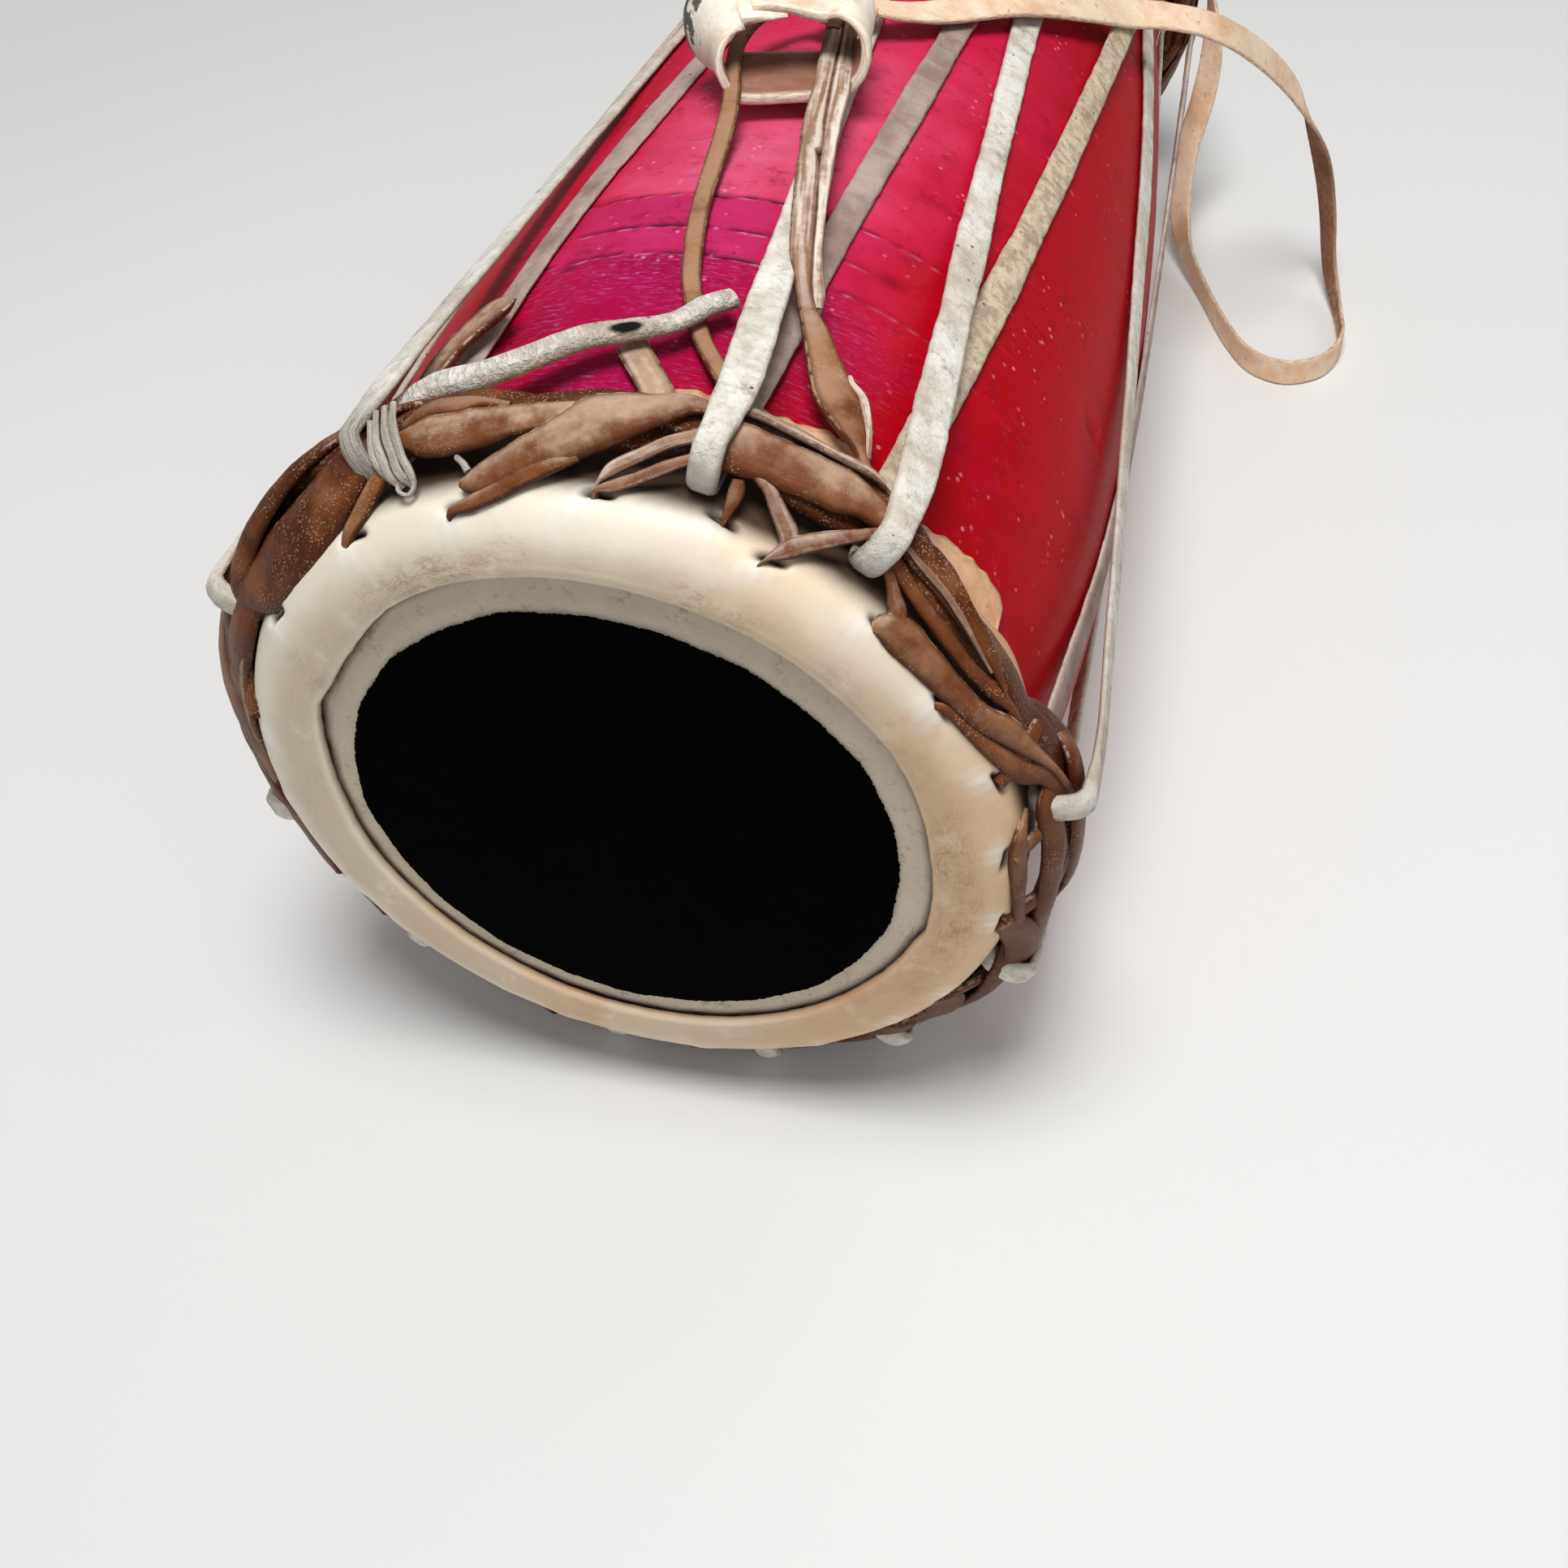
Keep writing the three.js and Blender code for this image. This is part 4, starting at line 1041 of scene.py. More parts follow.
def makeCollar(head, slits, seed):
    edge = head["collarEdge"]
    wood = head["neck"] - barrel["wall"]
    outerWide = barrel["wall"] + collar["over"]
    outerDeep = barrel["rimRound"] + collar["over"]
    innerWide, innerDeep = outerWide - collar["thick"], outerDeep - collar["thick"]
    centre = collar["rimBack"]
    profile = [(edge, collar["back"])] + [(edge + out, y) for out, y in collar["round"]]
    profile += [(r, collar["front"]) for r in np.linspace(edge + 1.4, wood, 6)]
    for t in np.linspace(0, math.pi / 2, 46)[1:]:
        profile.append((wood + outerWide * math.sin(t), centre - outerDeep * math.cos(t)))
    outerRadius = wood + outerWide
    profile += [(outerRadius, y) for y in np.linspace(centre, collar["hem"], 18)[1:]]
    outerCount = len(profile)
    profile += [(outerRadius - 1, collar["hem"] + 0.3), (outerRadius - 2, collar["hem"])]
    for t in np.linspace(math.pi / 2, 0, 8):
        profile.append((wood + innerWide * math.sin(t), centre - innerDeep * math.cos(t)))
    steps = np.linalg.norm(np.diff(np.array(profile), axis=0), axis=1)
    depths = np.concatenate([[0], np.cumsum(steps)])
    sizes = {"Segments": 760, "Dents": 0.25, "Dent Size": 0.03, "Seed": float(seed)}
    name = head["prefix"] + "_collar_hide"
    mesh = spin(name, profile, True, sizes, ivoryHide)
    points = vertexArray(mesh)
    angle, radius = polar(points)
    y = points[:, 1].copy()
    table = np.array(profile)
    given = np.empty(len(mesh.vertices), np.float32)
    mesh.attributes["profileRadius"].data.foreach_get("value", given)
    axial = np.empty(len(mesh.vertices), np.float32)
    mesh.attributes["profileAlong"].data.foreach_get("value", axial)
    nearest = np.argmin(
        (given[:, None] - table[None, :, 0].astype(np.float32)) ** 2
        + (axial[:, None] - table[None, :, 1].astype(np.float32)) ** 2,
        axis=1,
    )
    depth = depths[nearest]
    outside = nearest < outerCount
    across = (given - wood) / outerWide**2
    facing = (axial - centre) / outerDeep**2
    across = np.where(given < wood, 0.0, np.where(axial > centre, 1.0, across))
    facing = np.where(given < wood, -1.0, np.where(axial > centre, 0.0, facing))
    size = np.maximum(np.hypot(across, facing), 1e-9)
    across, facing = across / size, facing / size
    push = np.zeros(len(y))
    slitShade = np.zeros(len(y))
    lipLayer = np.zeros(len(y))
    rng = np.random.default_rng(seed)
    rounded = slice(8, 55)  # rows of the profile that go round the rim
    for at, behind in slits:
        slitDepth = np.interp(behind, table[rounded, 1], depths[rounded])
        slant = rng.uniform(-0.25, 0.25)
        lean = rng.uniform(-4.0, -1.5)
        along = np.radians(turnFrom(at, angle)) * radius
        down = depth - slitDepth + slant * along + slitShape["bow"] * along**2
        cut, lip, folds = slitMarks(along, down, lean)
        push += slitShape["lip"] * lip + slitShape["fold"] * folds - slitShape["deep"] * cut
        # slitShade marks where each cut is painted near black as shade
        slitShade = np.maximum(slitShade, np.clip(cut * 1.6 - 0.35, 0, 1))
        lipLayer = np.maximum(lipLayer, lip * (0.75 + 0.25 * np.cos(along * 2.1 + lean)))
    push *= outside
    radius = radius + push * across
    y = y + push * facing
    inner = np.clip((wood + 3 - given) / (wood + 3 - edge), 0, 1)
    broad, fine = collar["uneven"]
    opening = broad * ripple(angle, (3, 5, 8, 13), seed) + fine * ripple(angle, (37, 61, 90), seed + 1)
    if not head["flip"]:
        opening = 0.4 * opening + np.interp(angle, *zip(*collarOpening))
    radius = radius + inner * opening
    back = np.clip((axial - collar["wavyFrom"]) / collar["wavyOver"], 0, 1)
    y = y + back * collar["wavy"] * ripple(angle, (9, 14, 23), seed + 2)
    turn = np.radians(angle)
    points = np.stack([radius * np.sin(turn), y, radius * np.cos(turn)], axis=1)
    setVertices(mesh, atHead(head, points))
    layerOf(mesh, "depth", depth)
    layerOf(mesh, "slit", slitShade * outside)
    layerOf(mesh, "lip", np.clip(lipLayer, 0, 1) * outside)
    piece = settle(name, mesh, drumToObject, [head["prefix"] + "_collar_skin"])
    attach(piece, "drum")


# Membrane: the flat of the head inside the collar
membrane = {
    "reach": 7.0, "dish": 1.0, "dishPower": 1.6, "thick": 0.4, "uneven": 0.12, "give": 1.5, "keep": 0.02,
    "shadeFrom": 1.6, "shadeOver": 1.8,
}


def makeMembrane(head, seed):
    rim = head["collarEdge"] + membrane["reach"]
    front = [(r, 0.0) for r in np.linspace(0, head["paste"] - 3, 8)]
    for r in np.linspace(head["paste"] - 2, rim, 14):
        share = (r - head["paste"] + 2) / (rim - head["paste"] + 2)
        front.append((r, membrane["dish"] * share ** membrane["dishPower"]))
    back = [(r, y + membrane["thick"]) for r, y in front[::-3]]
    back.append((0.0, membrane["thick"]))
    sizes = {"Segments": 360, "Dents": 0.0, "Seed": float(seed)}
    name = head["prefix"] + "_membrane"
    mesh = spin(name, front + back, False, sizes, greyNap)
    points = vertexArray(mesh)
    angle, radius = polar(points)
    bare = np.clip((radius - head["paste"] + 1) / 2, 0, 1) * np.clip((rim - radius) / 2, 0, 1)
    points[:, 1] += bare * membrane["uneven"] * ripple(angle + radius * 9, (31, 47, 83), seed)
    setVertices(mesh, atHead(head, points))
    shaded = head["collarEdge"] + (0 if head["flip"] else np.interp(angle, *zip(*collarOpening)))
    shade = (radius - shaded + membrane["shadeFrom"]) / membrane["shadeOver"]
    layerOf(mesh, "shade", np.clip(shade, 0, 1))
    piece = settle(name, mesh, drumToObject, [head["prefix"] + "_head_skin"])
    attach(piece, "drum")
    anchor = drumToObject @ Vector(headPlace(head, 0, membrane["give"], 0))
    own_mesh(piece)


# Hem of the head's skin: it shows behind the hoop, torn and scalloped
hemEdge = [
    (-60, 36), (-40, 37), (-22.7, 38), (-14.8, 37.1), (-8.6, 36.9), (-6.1, 38.9), (-1.9, 38.2),
    (2.2, 40.9), (6.4, 42.3), (12, 43), (16.2, 44.2), (22.2, 43.2), (24.3, 44.2), (26.7, 44.5),
    (29.3, 44.1), (32.3, 42.3), (37, 37.5), (42.8, 38.1), (47.2, 39.6), (52.5, 41.6), (56.8, 42.4),
    (60.5, 41.4), (62.2, 38.6), (62.8, 32.2), (63.9, 30.4), (66.7, 32.7), (69.4, 34.3), (70.6, 28.6),
    (73, 28.5), (79.9, 33.7), (83, 33),
]
hem = {
    "start": 24.0, "edge": 36.5, "sway": 1.6, "fray": 0.35, "lift": 0.35, "curl": (0.5, 0.35), "thick": 0.9,
    "seen": (-62, 84), "fade": (10, 8), "steps": 14, "segments": 1080, "grainRadius": 84, "grainHalf": 8.0,
}


def makeHem(head, seed):
    count, steps = hem["segments"], hem["steps"]
    angle = np.arange(count) * 360 / count
    signed = turnFrom(0, angle)
    edge = hem["edge"] + hem["sway"] * ripple(angle, (7, 11, 17), seed)
    if not head["flip"]:
        known = np.interp(signed, *zip(*hemEdge))
        (left, right), (leftFade, rightFade) = hem["seen"], hem["fade"]
        share = np.clip((signed - left) / leftFade, 0, 1) * np.clip((right - signed) / rightFade, 0, 1)
        edge = edge * (1 - share) + known * share
    edge = edge + hem["fray"] * ripple(angle, (53, 79, 120), seed + 3)
    curl = hem["curl"][0] + hem["curl"][1] * ripple(angle, (13, 19, 29), seed + 5)
    vertices = []
    for layer in (0, 1):
        for i in range(steps + 1):
            share = i / steps
            y = hem["start"] + (edge - hem["start"]) * share
            along = barrel["length"] - y if head["flip"] else y
            wood = np.array([woodRadius(v) for v in along])
            thick = hem["thick"] * (1 - 0.5 * share**3)
            lifted = hem["lift"] + curl * share**4
            radius = wood + lifted + (thick if layer == 0 else 0)
            turn = np.radians(angle)
            vertices.append(np.stack([radius * np.sin(turn), along, radius * np.cos(turn)], axis=1))
    rings = vertices[: steps + 1] + vertices[steps + 1 :][::-1]
    total = len(rings)
    faces = []
    for i in range(total):
        j = (i + 1) % total
        for k in range(count):
            n = (k + 1) % count
            faces.append((i * count + k, i * count + n, j * count + n, j * count + k))
    name = head["prefix"] + "_skin_hem"
    mesh = bpy.data.meshes.new(name)
    mesh.from_pydata(np.vstack(rings).tolist(), [], faces)
    mesh.polygons.foreach_set("use_smooth", [True] * len(faces))
    layerOf(mesh, "along", np.tile(np.radians(angle) * hem["grainRadius"], total))
    layerOf(mesh, "halfWidth", np.full(total * count, hem["grainHalf"]))
    share = np.concatenate([np.arange(steps + 1), np.arange(steps + 1)[::-1]]) / steps
    layerOf(mesh, "across", np.repeat(share, count) * 0.99)
    layerOf(mesh, "rise", np.repeat(np.where(np.arange(total) <= steps, 1.0, -1.0), count))
    mesh.materials.append(tanHide)
    piece = settle(name, mesh, drumToObject)
    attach(piece, "drum")


# Tuning paste: a low disc with a crumbled rim
paste = {
    "front": -1.5, "back": -0.3, "ragged": 0.32, "uneven": 0.07,
    "round": ((-1.2, -1.45), (-0.6, -1.2), (-0.15, -0.8), (0.0, -0.5)),
}


def makePaste(head, seed):
    edge = head["paste"]
    front = [(r, paste["front"]) for r in np.linspace(0, edge - 2, 30)]
    front += [(edge + out, y) for out, y in paste["round"]]
    back = [(edge, paste["back"]), (edge - 8, paste["back"]), (0.0, paste["back"])]
    sizes = {"Segments": 1200, "Dents": 0.0, "Seed": float(seed)}
    name = head["prefix"] + "_paste_disc"
    mesh = spin(name, front + back, False, sizes, blackPaste)
    points = vertexArray(mesh)
    angle, radius = polar(points)
    outer = np.clip((radius - edge + 3) / 3, 0, 1)
    crumbs = ripple(angle, (61, 97, 149, 211, 283, 367, 431), seed + 1)
    rough = 0.9 * ripple(angle, (5, 9, 14, 23), seed) + 0.45 * crumbs
    grown = 1 + outer * paste["ragged"] * rough / np.maximum(radius, 1)
    points[:, 0] *= grown
    points[:, 2] *= grown
    face = points[:, 1] < -0.7
    waves = ripple(angle + radius * 7, (23, 41, 67), seed + 2)
    points[:, 1] += face * paste["uneven"] * waves * np.clip(radius / 30, 0, 1)
    setVertices(mesh, atHead(head, points))
    piece = settle(name, mesh, drumToObject, [head["prefix"] + "_tuning_paste"])
    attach(piece, head["prefix"] + "_head")


makeShell()
for head, slits, seed in ((largeHead, largeSlits, 21), (smallHead, smallSlits, 57)):
    makeCollar(head, slits, seed)
    makeMembrane(head, seed + 4)
    makeHem(head, seed + 8)
    makePaste(head, seed + 12)
print("shell and heads made")


# Hoop: a twisted core, and flat strips that climb from the slits and wind over it
winding = {
    "leanOver": 9, "lean": 52, "leanEnds": (-1.2, 1.1), "taper": (0.55, 0.75), "curl": -0.12, "thinned": 0.3,
    "windFrom": 95, "narrowAfter": (8, 13), "stitchFrom": 70, "stitchThick": 1.0,
}


def hoopFacing(head, angle, y):
    share = np.clip((y - hoop["at"]) / winding["leanOver"], *winding["leanEnds"])
    lean = share * math.radians(winding["lean"])
    return outward(angle) * math.cos(lean) + headAxis(head) * math.sin(lean)


def strip(head, places, halfWidth, halfThick, tint, curl=0.0):
    rows = []
    last = len(places) - 1
    begin, end = winding["taper"]
    wider = head["hoop"] - largeHead["hoop"]
    for i, (angle, y, radius) in enumerate(places):
        width = halfWidth * (begin if i == 0 else end if i == last else 1.0)
        at = headPlace(head, angle, y, radius + wider)
        rows.append(row(at, hoopFacing(head, angle, y), width, halfThick, curl))
    return strand(rows, tint)


# Angle, place and radius as measured on the large hoop, carried round either hoop
def roundHoop(head, angle, rises):
    spread = largeHead["hoop"] / head["hoop"]
    return [(angle + a * spread, y, r) for a, y, r in rises]


core = {
    "turns": {"large": 7, "small": 6}, "swing": 3.8, "depth": 1.5, "halfWidth": 4.2, "halfThick": 2.0,
    "set": -0.9, "drawnIn": (41, 49, 70, 77), "drawnForward": 4.5, "drawnDown": 2.9,
}


def coreStrands(head):
    turns = core["turns"][head["prefix"]]
    strands = []
    for start in (0.0, 0.5):
        rows = []
        count = turns * 9
        for i in range(count + 1):
            angle = 360 * i / count
            turn = 2 * math.pi * (turns * i / count + start)
            tight = np.interp(angle, core["drawnIn"], (0, 1, 1, 0)) if head["prefix"] == "large" else 0.0
            y = hoop["at"] - core["drawnForward"] * tight
            y += core["swing"] * (1 - 0.3 * tight) * math.cos(turn)
            radius = head["hoop"] + core["set"] - core["drawnDown"] * tight
            radius += core["depth"] * (1 - 0.5 * tight) * math.sin(turn)
            lean = outward(angle) + headAxis(head) * 0.25 * math.cos(turn)
            thick = core["halfThick"] * (1 - 0.25 * tight)
            rows.append(row(headPlace(head, angle, y, radius), lean, core["halfWidth"], thick))
        # The core's tint is set low so it is drawn near black: painted shade in the crevices between the
        # strips
        strands.append(strand(rows, 0.1 * start - 0.25, 4))
    return strands


# A strip given by its two edges: angle, place along the axis and radius of one, then of the other
def edgeStrip(edges, halfThick, tint, curl=0.0, pale=0.0, thinned=1.0):
    first = np.array([place(*e[:3]) for e in edges])
    second = np.array([place(*e[3:]) for e in edges])
    middle = (first + second) / 2
    rows = []
    for at, ahead, across in zip(middle, np.gradient(middle, axis=0), first - second):
        ahead = ahead / np.linalg.norm(ahead)
        across = across - ahead * (across @ ahead)
        facing = np.cross(across, ahead)
        facing = facing / np.linalg.norm(facing)
        if facing @ np.array([at[0], -20.0, at[2]]) < 0:  # outward, and a little to the front
            facing = -facing
        rows.append(row(at, facing, np.linalg.norm(across) / 2, halfThick, curl, pale))
    for end in (rows[0], rows[-1]):
        end[columns["halfThick"]] *= thinned
    return strand(rows, tint)


# Strips of the large hoop that face the player: edges, half thickness, tint, curl, pale
seenStrips = {
    "left back": ([
        (-23.3, 17.9, 94.9, -23.1, 16.2, 94.2), (-20.1, 21, 95.7, -19.3, 17.1, 94.7),
        (-16.5, 21.2, 95.7, -14.2, 16.9, 94.6), (-13.1, 20.1, 95.5, -11.7, 17.7, 94.9),
        (-9.6, 19, 95.2, -8.6, 17.2, 94.7),
    ], 0.9, 0.3, 0.0, 0.0),
    "left broad": ([
        (-26, 14.4, 94, -25.4, 13.3, 93.2), (-23.5, 15.1, 94.5, -23, 12.6, 92.6),
        (-20.3, 16.8, 95.5, -19.1, 10.3, 90.5), (-15.9, 16.9, 95.5, -14.8, 10.3, 90.5),
        (-11.6, 17.1, 95.6, -10.7, 11, 91.2), (-7.6, 17.4, 95.7, -6.3, 12.5, 92.5),
        (-3, 18.2, 95.9, -1.7, 13.9, 93.7), (0.7, 18.9, 96.1, 1.7, 16.1, 95),
    ], 1.0, 0.66, -0.12, 0.1),
    "middle broad": ([
        (-14.4, 6.1, 87.4, -14.6, 4.9, 86.3), (-13.6, 6.8, 88.1, -12.1, 3.9, 85.4),
        (-10.9, 8.8, 90, -8.4, 5, 86.4), (-7.2, 11.1, 92.3, -4.5, 6.8, 88.1),
        (-3.8, 13.9, 94.7, 0, 8.7, 89.9), (0, 19, 97.1, 4.5, 11.4, 92.5),
        (5.8, 21.2, 97.6, 9.1, 15.9, 95.9), (9.7, 24.8, 97, 11.5, 19.6, 97.2),
        (13, 26, 96.2, 14, 22.4, 97),
    ], 1.1, 0.62, -0.12, 0.1),
    "middle fold": ([
        (-16.6, 2, 81.6, -16.6, 1.2, 80.6), (-16, 2.5, 83.7, -16, 1.5, 82.4),
        (-13.6, 3.9, 85, -12.5, 2, 83.1), (-10.2, 5.6, 86.5, -8.4, 3.4, 84.6),
        (-6.7, 7.5, 88.4, -5.3, 5.3, 86.2), (-3.1, 9.4, 90.2, -1.5, 7.4, 88.2),
        (-0.3, 10.5, 91.3, 0.9, 9, 89.8),
    ], 1.1, 0.5, 0.0, 0.05),
    "top broad": ([
        (15.1, 22.5, 97.2, 16.8, 12.5, 93.3), (17, 22.5, 97.2, 19.6, 12.4, 93.2),
        (19.5, 22.6, 97.1, 22.6, 12.8, 93.5), (22.7, 22.1, 97.2, 25.8, 12.8, 93.6),
        (25.8, 22.5, 97.2, 29, 13.3, 94), (29.2, 22.8, 97.1, 31.9, 13.6, 94.2),
        (32.3, 20.9, 97.4, 33.9, 14.4, 94.8), (35.9, 19.3, 97, 37, 14.2, 94.7),
        (39, 18, 95.6, 39.6, 14, 94),
    ], 1.1, 0.7, -0.16, 0.0),
    "top rim": ([
        (13.6, 27.4, 95.4, 14, 25, 96.2), (16.6, 27.6, 95.8, 17, 25.1, 96.7),
        (19.4, 27.6, 95.8, 19.6, 25.2, 96.7), (23.1, 26.8, 96.2, 23.1, 23.8, 97.2),
        (25.8, 25.9, 96.5, 25.8, 23.4, 97.4), (28.7, 25.8, 96.5, 28.7, 23.3, 97.4),
        (31.9, 26.6, 96.2, 31.9, 23.8, 97.2), (34.5, 27, 95.6, 34.2, 24.4, 96.4),
    ], 0.8, 0.6, 0.0, 0.6),
    "top back": ([
        (13, 29.6, 91.4, 14, 26.4, 95), (20, 29.8, 91.6, 20, 26.8, 95.2), (27, 29.4, 91.8, 27, 26.4, 95.2),
        (34, 29.2, 91.6, 33.4, 26.6, 94.6), (38, 28, 91.2, 37, 25, 94),
    ], 0.9, 0.35, 0.0, 0.2),
    "right outer": ([
        (35.7, 17.6, 95.3, 36.2, 14.1, 93.4), (38.5, 18.7, 95.6, 38.6, 14.5, 93.7),
        (41.2, 19.9, 95.9, 42.1, 13.4, 92.8), (44.7, 19.2, 95.7, 45.7, 12.7, 92.3),
        (48.7, 16.5, 94.9, 49.7, 11.9, 91.6), (52.4, 15.1, 94, 54, 11.2, 91),
        (55.9, 13.7, 93.2, 57.7, 11, 90.8), (61, 11.6, 91.2, 61, 10.6, 90.4),
        (65, 10.6, 90, 64.6, 9.8, 89.6),
    ], 1.0, 0.12, 0.1, 0.0),
    "right ridge": ([
        (37, 14.8, 94.6, 37, 15.6, 95), (39.1, 14.4, 94.9, 39.3, 15.4, 95.4),
        (40.9, 13.7, 94.4, 41.2, 14.8, 95.1), (43.3, 13.1, 93.9, 43.7, 14.3, 94.8),
        (46.2, 12.6, 93.5, 46.5, 13.7, 94.4), (49.8, 11.6, 92.6, 50.1, 12.7, 93.5),
        (53, 10.8, 91.9, 53.1, 11.6, 92.5), (58, 10.4, 91, 58, 11, 91.4),
    ], 0.7, 0.5, 0.0, 0.55),
    "right inner": ([
        (36, 15.6, 93.8, 35.2, 13.6, 92.4), (38.1, 15, 93.5, 37.3, 13.1, 92.1),
        (40, 14, 92.9, 39.1, 11.8, 91), (45.2, 11.9, 91.1, 44.7, 9.7, 89),
        (51.1, 10.9, 90.2, 50.3, 8.6, 87.9), (56.4, 10.5, 89.7, 56, 8.3, 87.6),
        (60.6, 11.3, 90.6, 61.2, 9, 88.3), (63.8, 11.5, 90.7, 65, 10.2, 89.5),
        (67.4, 11.6, 90.8, 67.9, 10.4, 89.7),
    ], 0.9, 0.34, -0.1, 0.0),
    "right smooth": ([
        (41.6, 4.8, 84.6, 42, 3, 83), (42, 6.2, 86.8, 43.5, 2.4, 83.6),
        (44.6, 7.7, 88.4, 46.8, 2.1, 83.3), (49.5, 7.2, 88, 50.7, 2, 83.2),
        (55.8, 6.8, 87.6, 55.8, 2.4, 83.8), (61.8, 7.7, 88.4, 61.7, 3.3, 84.6),
        (65.6, 9.9, 90.5, 67.2, 5.9, 86.7), (69.7, 10.7, 91.4, 70.9, 8.1, 88.8),
        (75, 12.6, 93.1, 75.3, 11.1, 91.8), (79.3, 14.3, 94.5, 79.1, 12.6, 93.1),
        (85, 18, 95, 84.6, 16, 94.4),
    ], 1.0, 0.78, -0.1, 0.05),
    "right low": ([
        (55.4, 2.6, 81.6, 55.8, 1.6, 80.6), (56.4, 3, 83.4, 56.8, 1.8, 82), (58.4, 3.6, 84, 59.3, 2, 82.6),
        (63.6, 4.8, 85, 64, 2.6, 83.2), (68.7, 7.1, 87, 69.1, 3.8, 84.2), (73, 10.1, 89.8, 74.5, 6.2, 86.1),
        (76, 12.8, 92.3, 77.4, 9.8, 89.6), (80.9, 15.5, 94.3, 81.6, 12.3, 91.9), (86, 20, 94.6, 86, 16, 94),
    ], 1.0, 0.56, 0.0, 0.0),
    "far right near": ([
        (81.2, 9.8, 86.6, 81.6, 8, 85.4), (83.1, 6.2, 86.6, 83.7, 3, 84.2),
        (87.6, 5.4, 86.2, 86.4, 2, 82.8), (94.6, 5.4, 86.2, 93.6, 2.4, 83.4),
        (102.3, 6.9, 87.4, 101.8, 4.2, 85.2), (109.1, 9.1, 89.5, 109, 7.4, 87.8),
        (118, 14, 93, 118, 11, 91),
    ], 0.9, 0.66, 0.0, 0.0),
    "far right outer": ([
        (78, 14, 93, 78, 11, 90.4), (81.9, 12.4, 92.2, 81.4, 8.1, 88.5),
        (86.7, 12.8, 93, 85.5, 8.2, 88.6), (91.5, 13.4, 93.4, 89.8, 8.5, 88.9),
        (98.5, 13.4, 93.4, 97.7, 8.7, 89.1), (106.4, 14.6, 94, 105.3, 9.7, 90.1),
        (113.2, 17, 95, 111.4, 12, 92), (122, 22, 95, 121, 17, 94.6),
    ], 1.0, 0.5, -0.1, 0.0),
    "far right back": ([
        (75.5, 24, 93, 75.5, 20, 92.8), (78, 22, 95.4, 78, 16, 95), (86, 23, 95.6, 86, 15, 94.6),
        (94, 24, 95.6, 94, 15.6, 94.6), (103, 26, 95, 102, 18, 95.2), (112, 29, 92, 111, 22, 95),
    ], 1.0, 0.36, -0.1, 0.0),
    "left dark": ([
        (-26, 15.6, 95, -24, 11.6, 92), (-30.2, 15.4, 95.2, -27, 10.4, 91.4),
        (-33.9, 14.8, 94.8, -29.6, 8.3, 89.2), (-38.6, 13.4, 93.8, -33, 5.6, 86.6),
        (-44.3, 12.4, 93, -39.4, 3, 84), (-50.5, 12.4, 93, -46.6, 2, 82.8),
        (-55.9, 12.6, 93.2, -53.6, 2.4, 82.6), (-61.7, 14, 94, -59.5, 6, 87.4),
        (-68, 18, 95.2, -66, 12, 92.4),
    ], 1.1, 0.14, -0.1, 0.0),
    "far left near": ([
        (-58, 13, 93.6, -57, 6, 87), (-66, 12.6, 93.4, -64, 4.6, 85.8), (-73, 12.8, 93.4, -71, 5, 86.2),
        (-80, 14, 94, -78, 7.4, 88.2), (-88, 16, 95, -87, 10.6, 91), (-97, 20, 95.6, -96, 15, 94),
        (-105, 25, 94.6, -104, 20, 95.4),
    ], 1.1, 0.28, -0.1, 0.0),
    "far left back": ([
        (-60, 24, 95.4, -60, 18, 95.6), (-70, 25, 95.2, -70, 17, 95.4), (-81, 25.6, 95, -81, 17.6, 95.4),
        (-92, 28, 93, -91, 22, 95.2),
    ], 1.0, 0.5, -0.1, 0.1),
    "far left thread": ([
        (-66, 8.4, 89.2, -66, 5.6, 87), (-72.5, 7.6, 88.6, -72, 4.8, 86.2),
        (-78, 7.4, 88.4, -77.4, 4.4, 85.8), (-84, 6.6, 87.4, -83, 3.6, 84.8),
        (-88, 5, 85.4, -87, 2.6, 83),
    ], 0.7, 0.6, 0.0, 0.3),
    "short end": ([
        (2.6, 33, 86, 7.4, 35, 86.6), (1.5, 37.5, 84.7, 6.1, 39.9, 85.1),
        (0.3, 40.6, 85.2, 4.7, 43, 85.6), (-1.9, 44.7, 85.9, 2.3, 47.6, 86.4),
        (-3.5, 48, 86.4, 0.5, 50.9, 86.9), (-4.7, 50.8, 86.8, -0.6, 53.1, 87.2),
    ], 0.9, 0.85, 0.1, 0.25),
    "cut end": ([
        (-30.6, 44, 91.4, -27.4, 39.6, 91), (-29.9, 47.9, 91.6, -26.7, 43.6, 91.2),
        (-28.7, 54.5, 92, -25.2, 49.4, 91.6), (-26.7, 60.6, 92.4, -22.9, 54.4, 92),
        (-24.4, 64.5, 92.8, -20.9, 59, 92.4), (-23.2, 66.6, 93, -20.4, 62, 92.8),
    ], 1.0, 0.3, 0.42, 0.2),
}


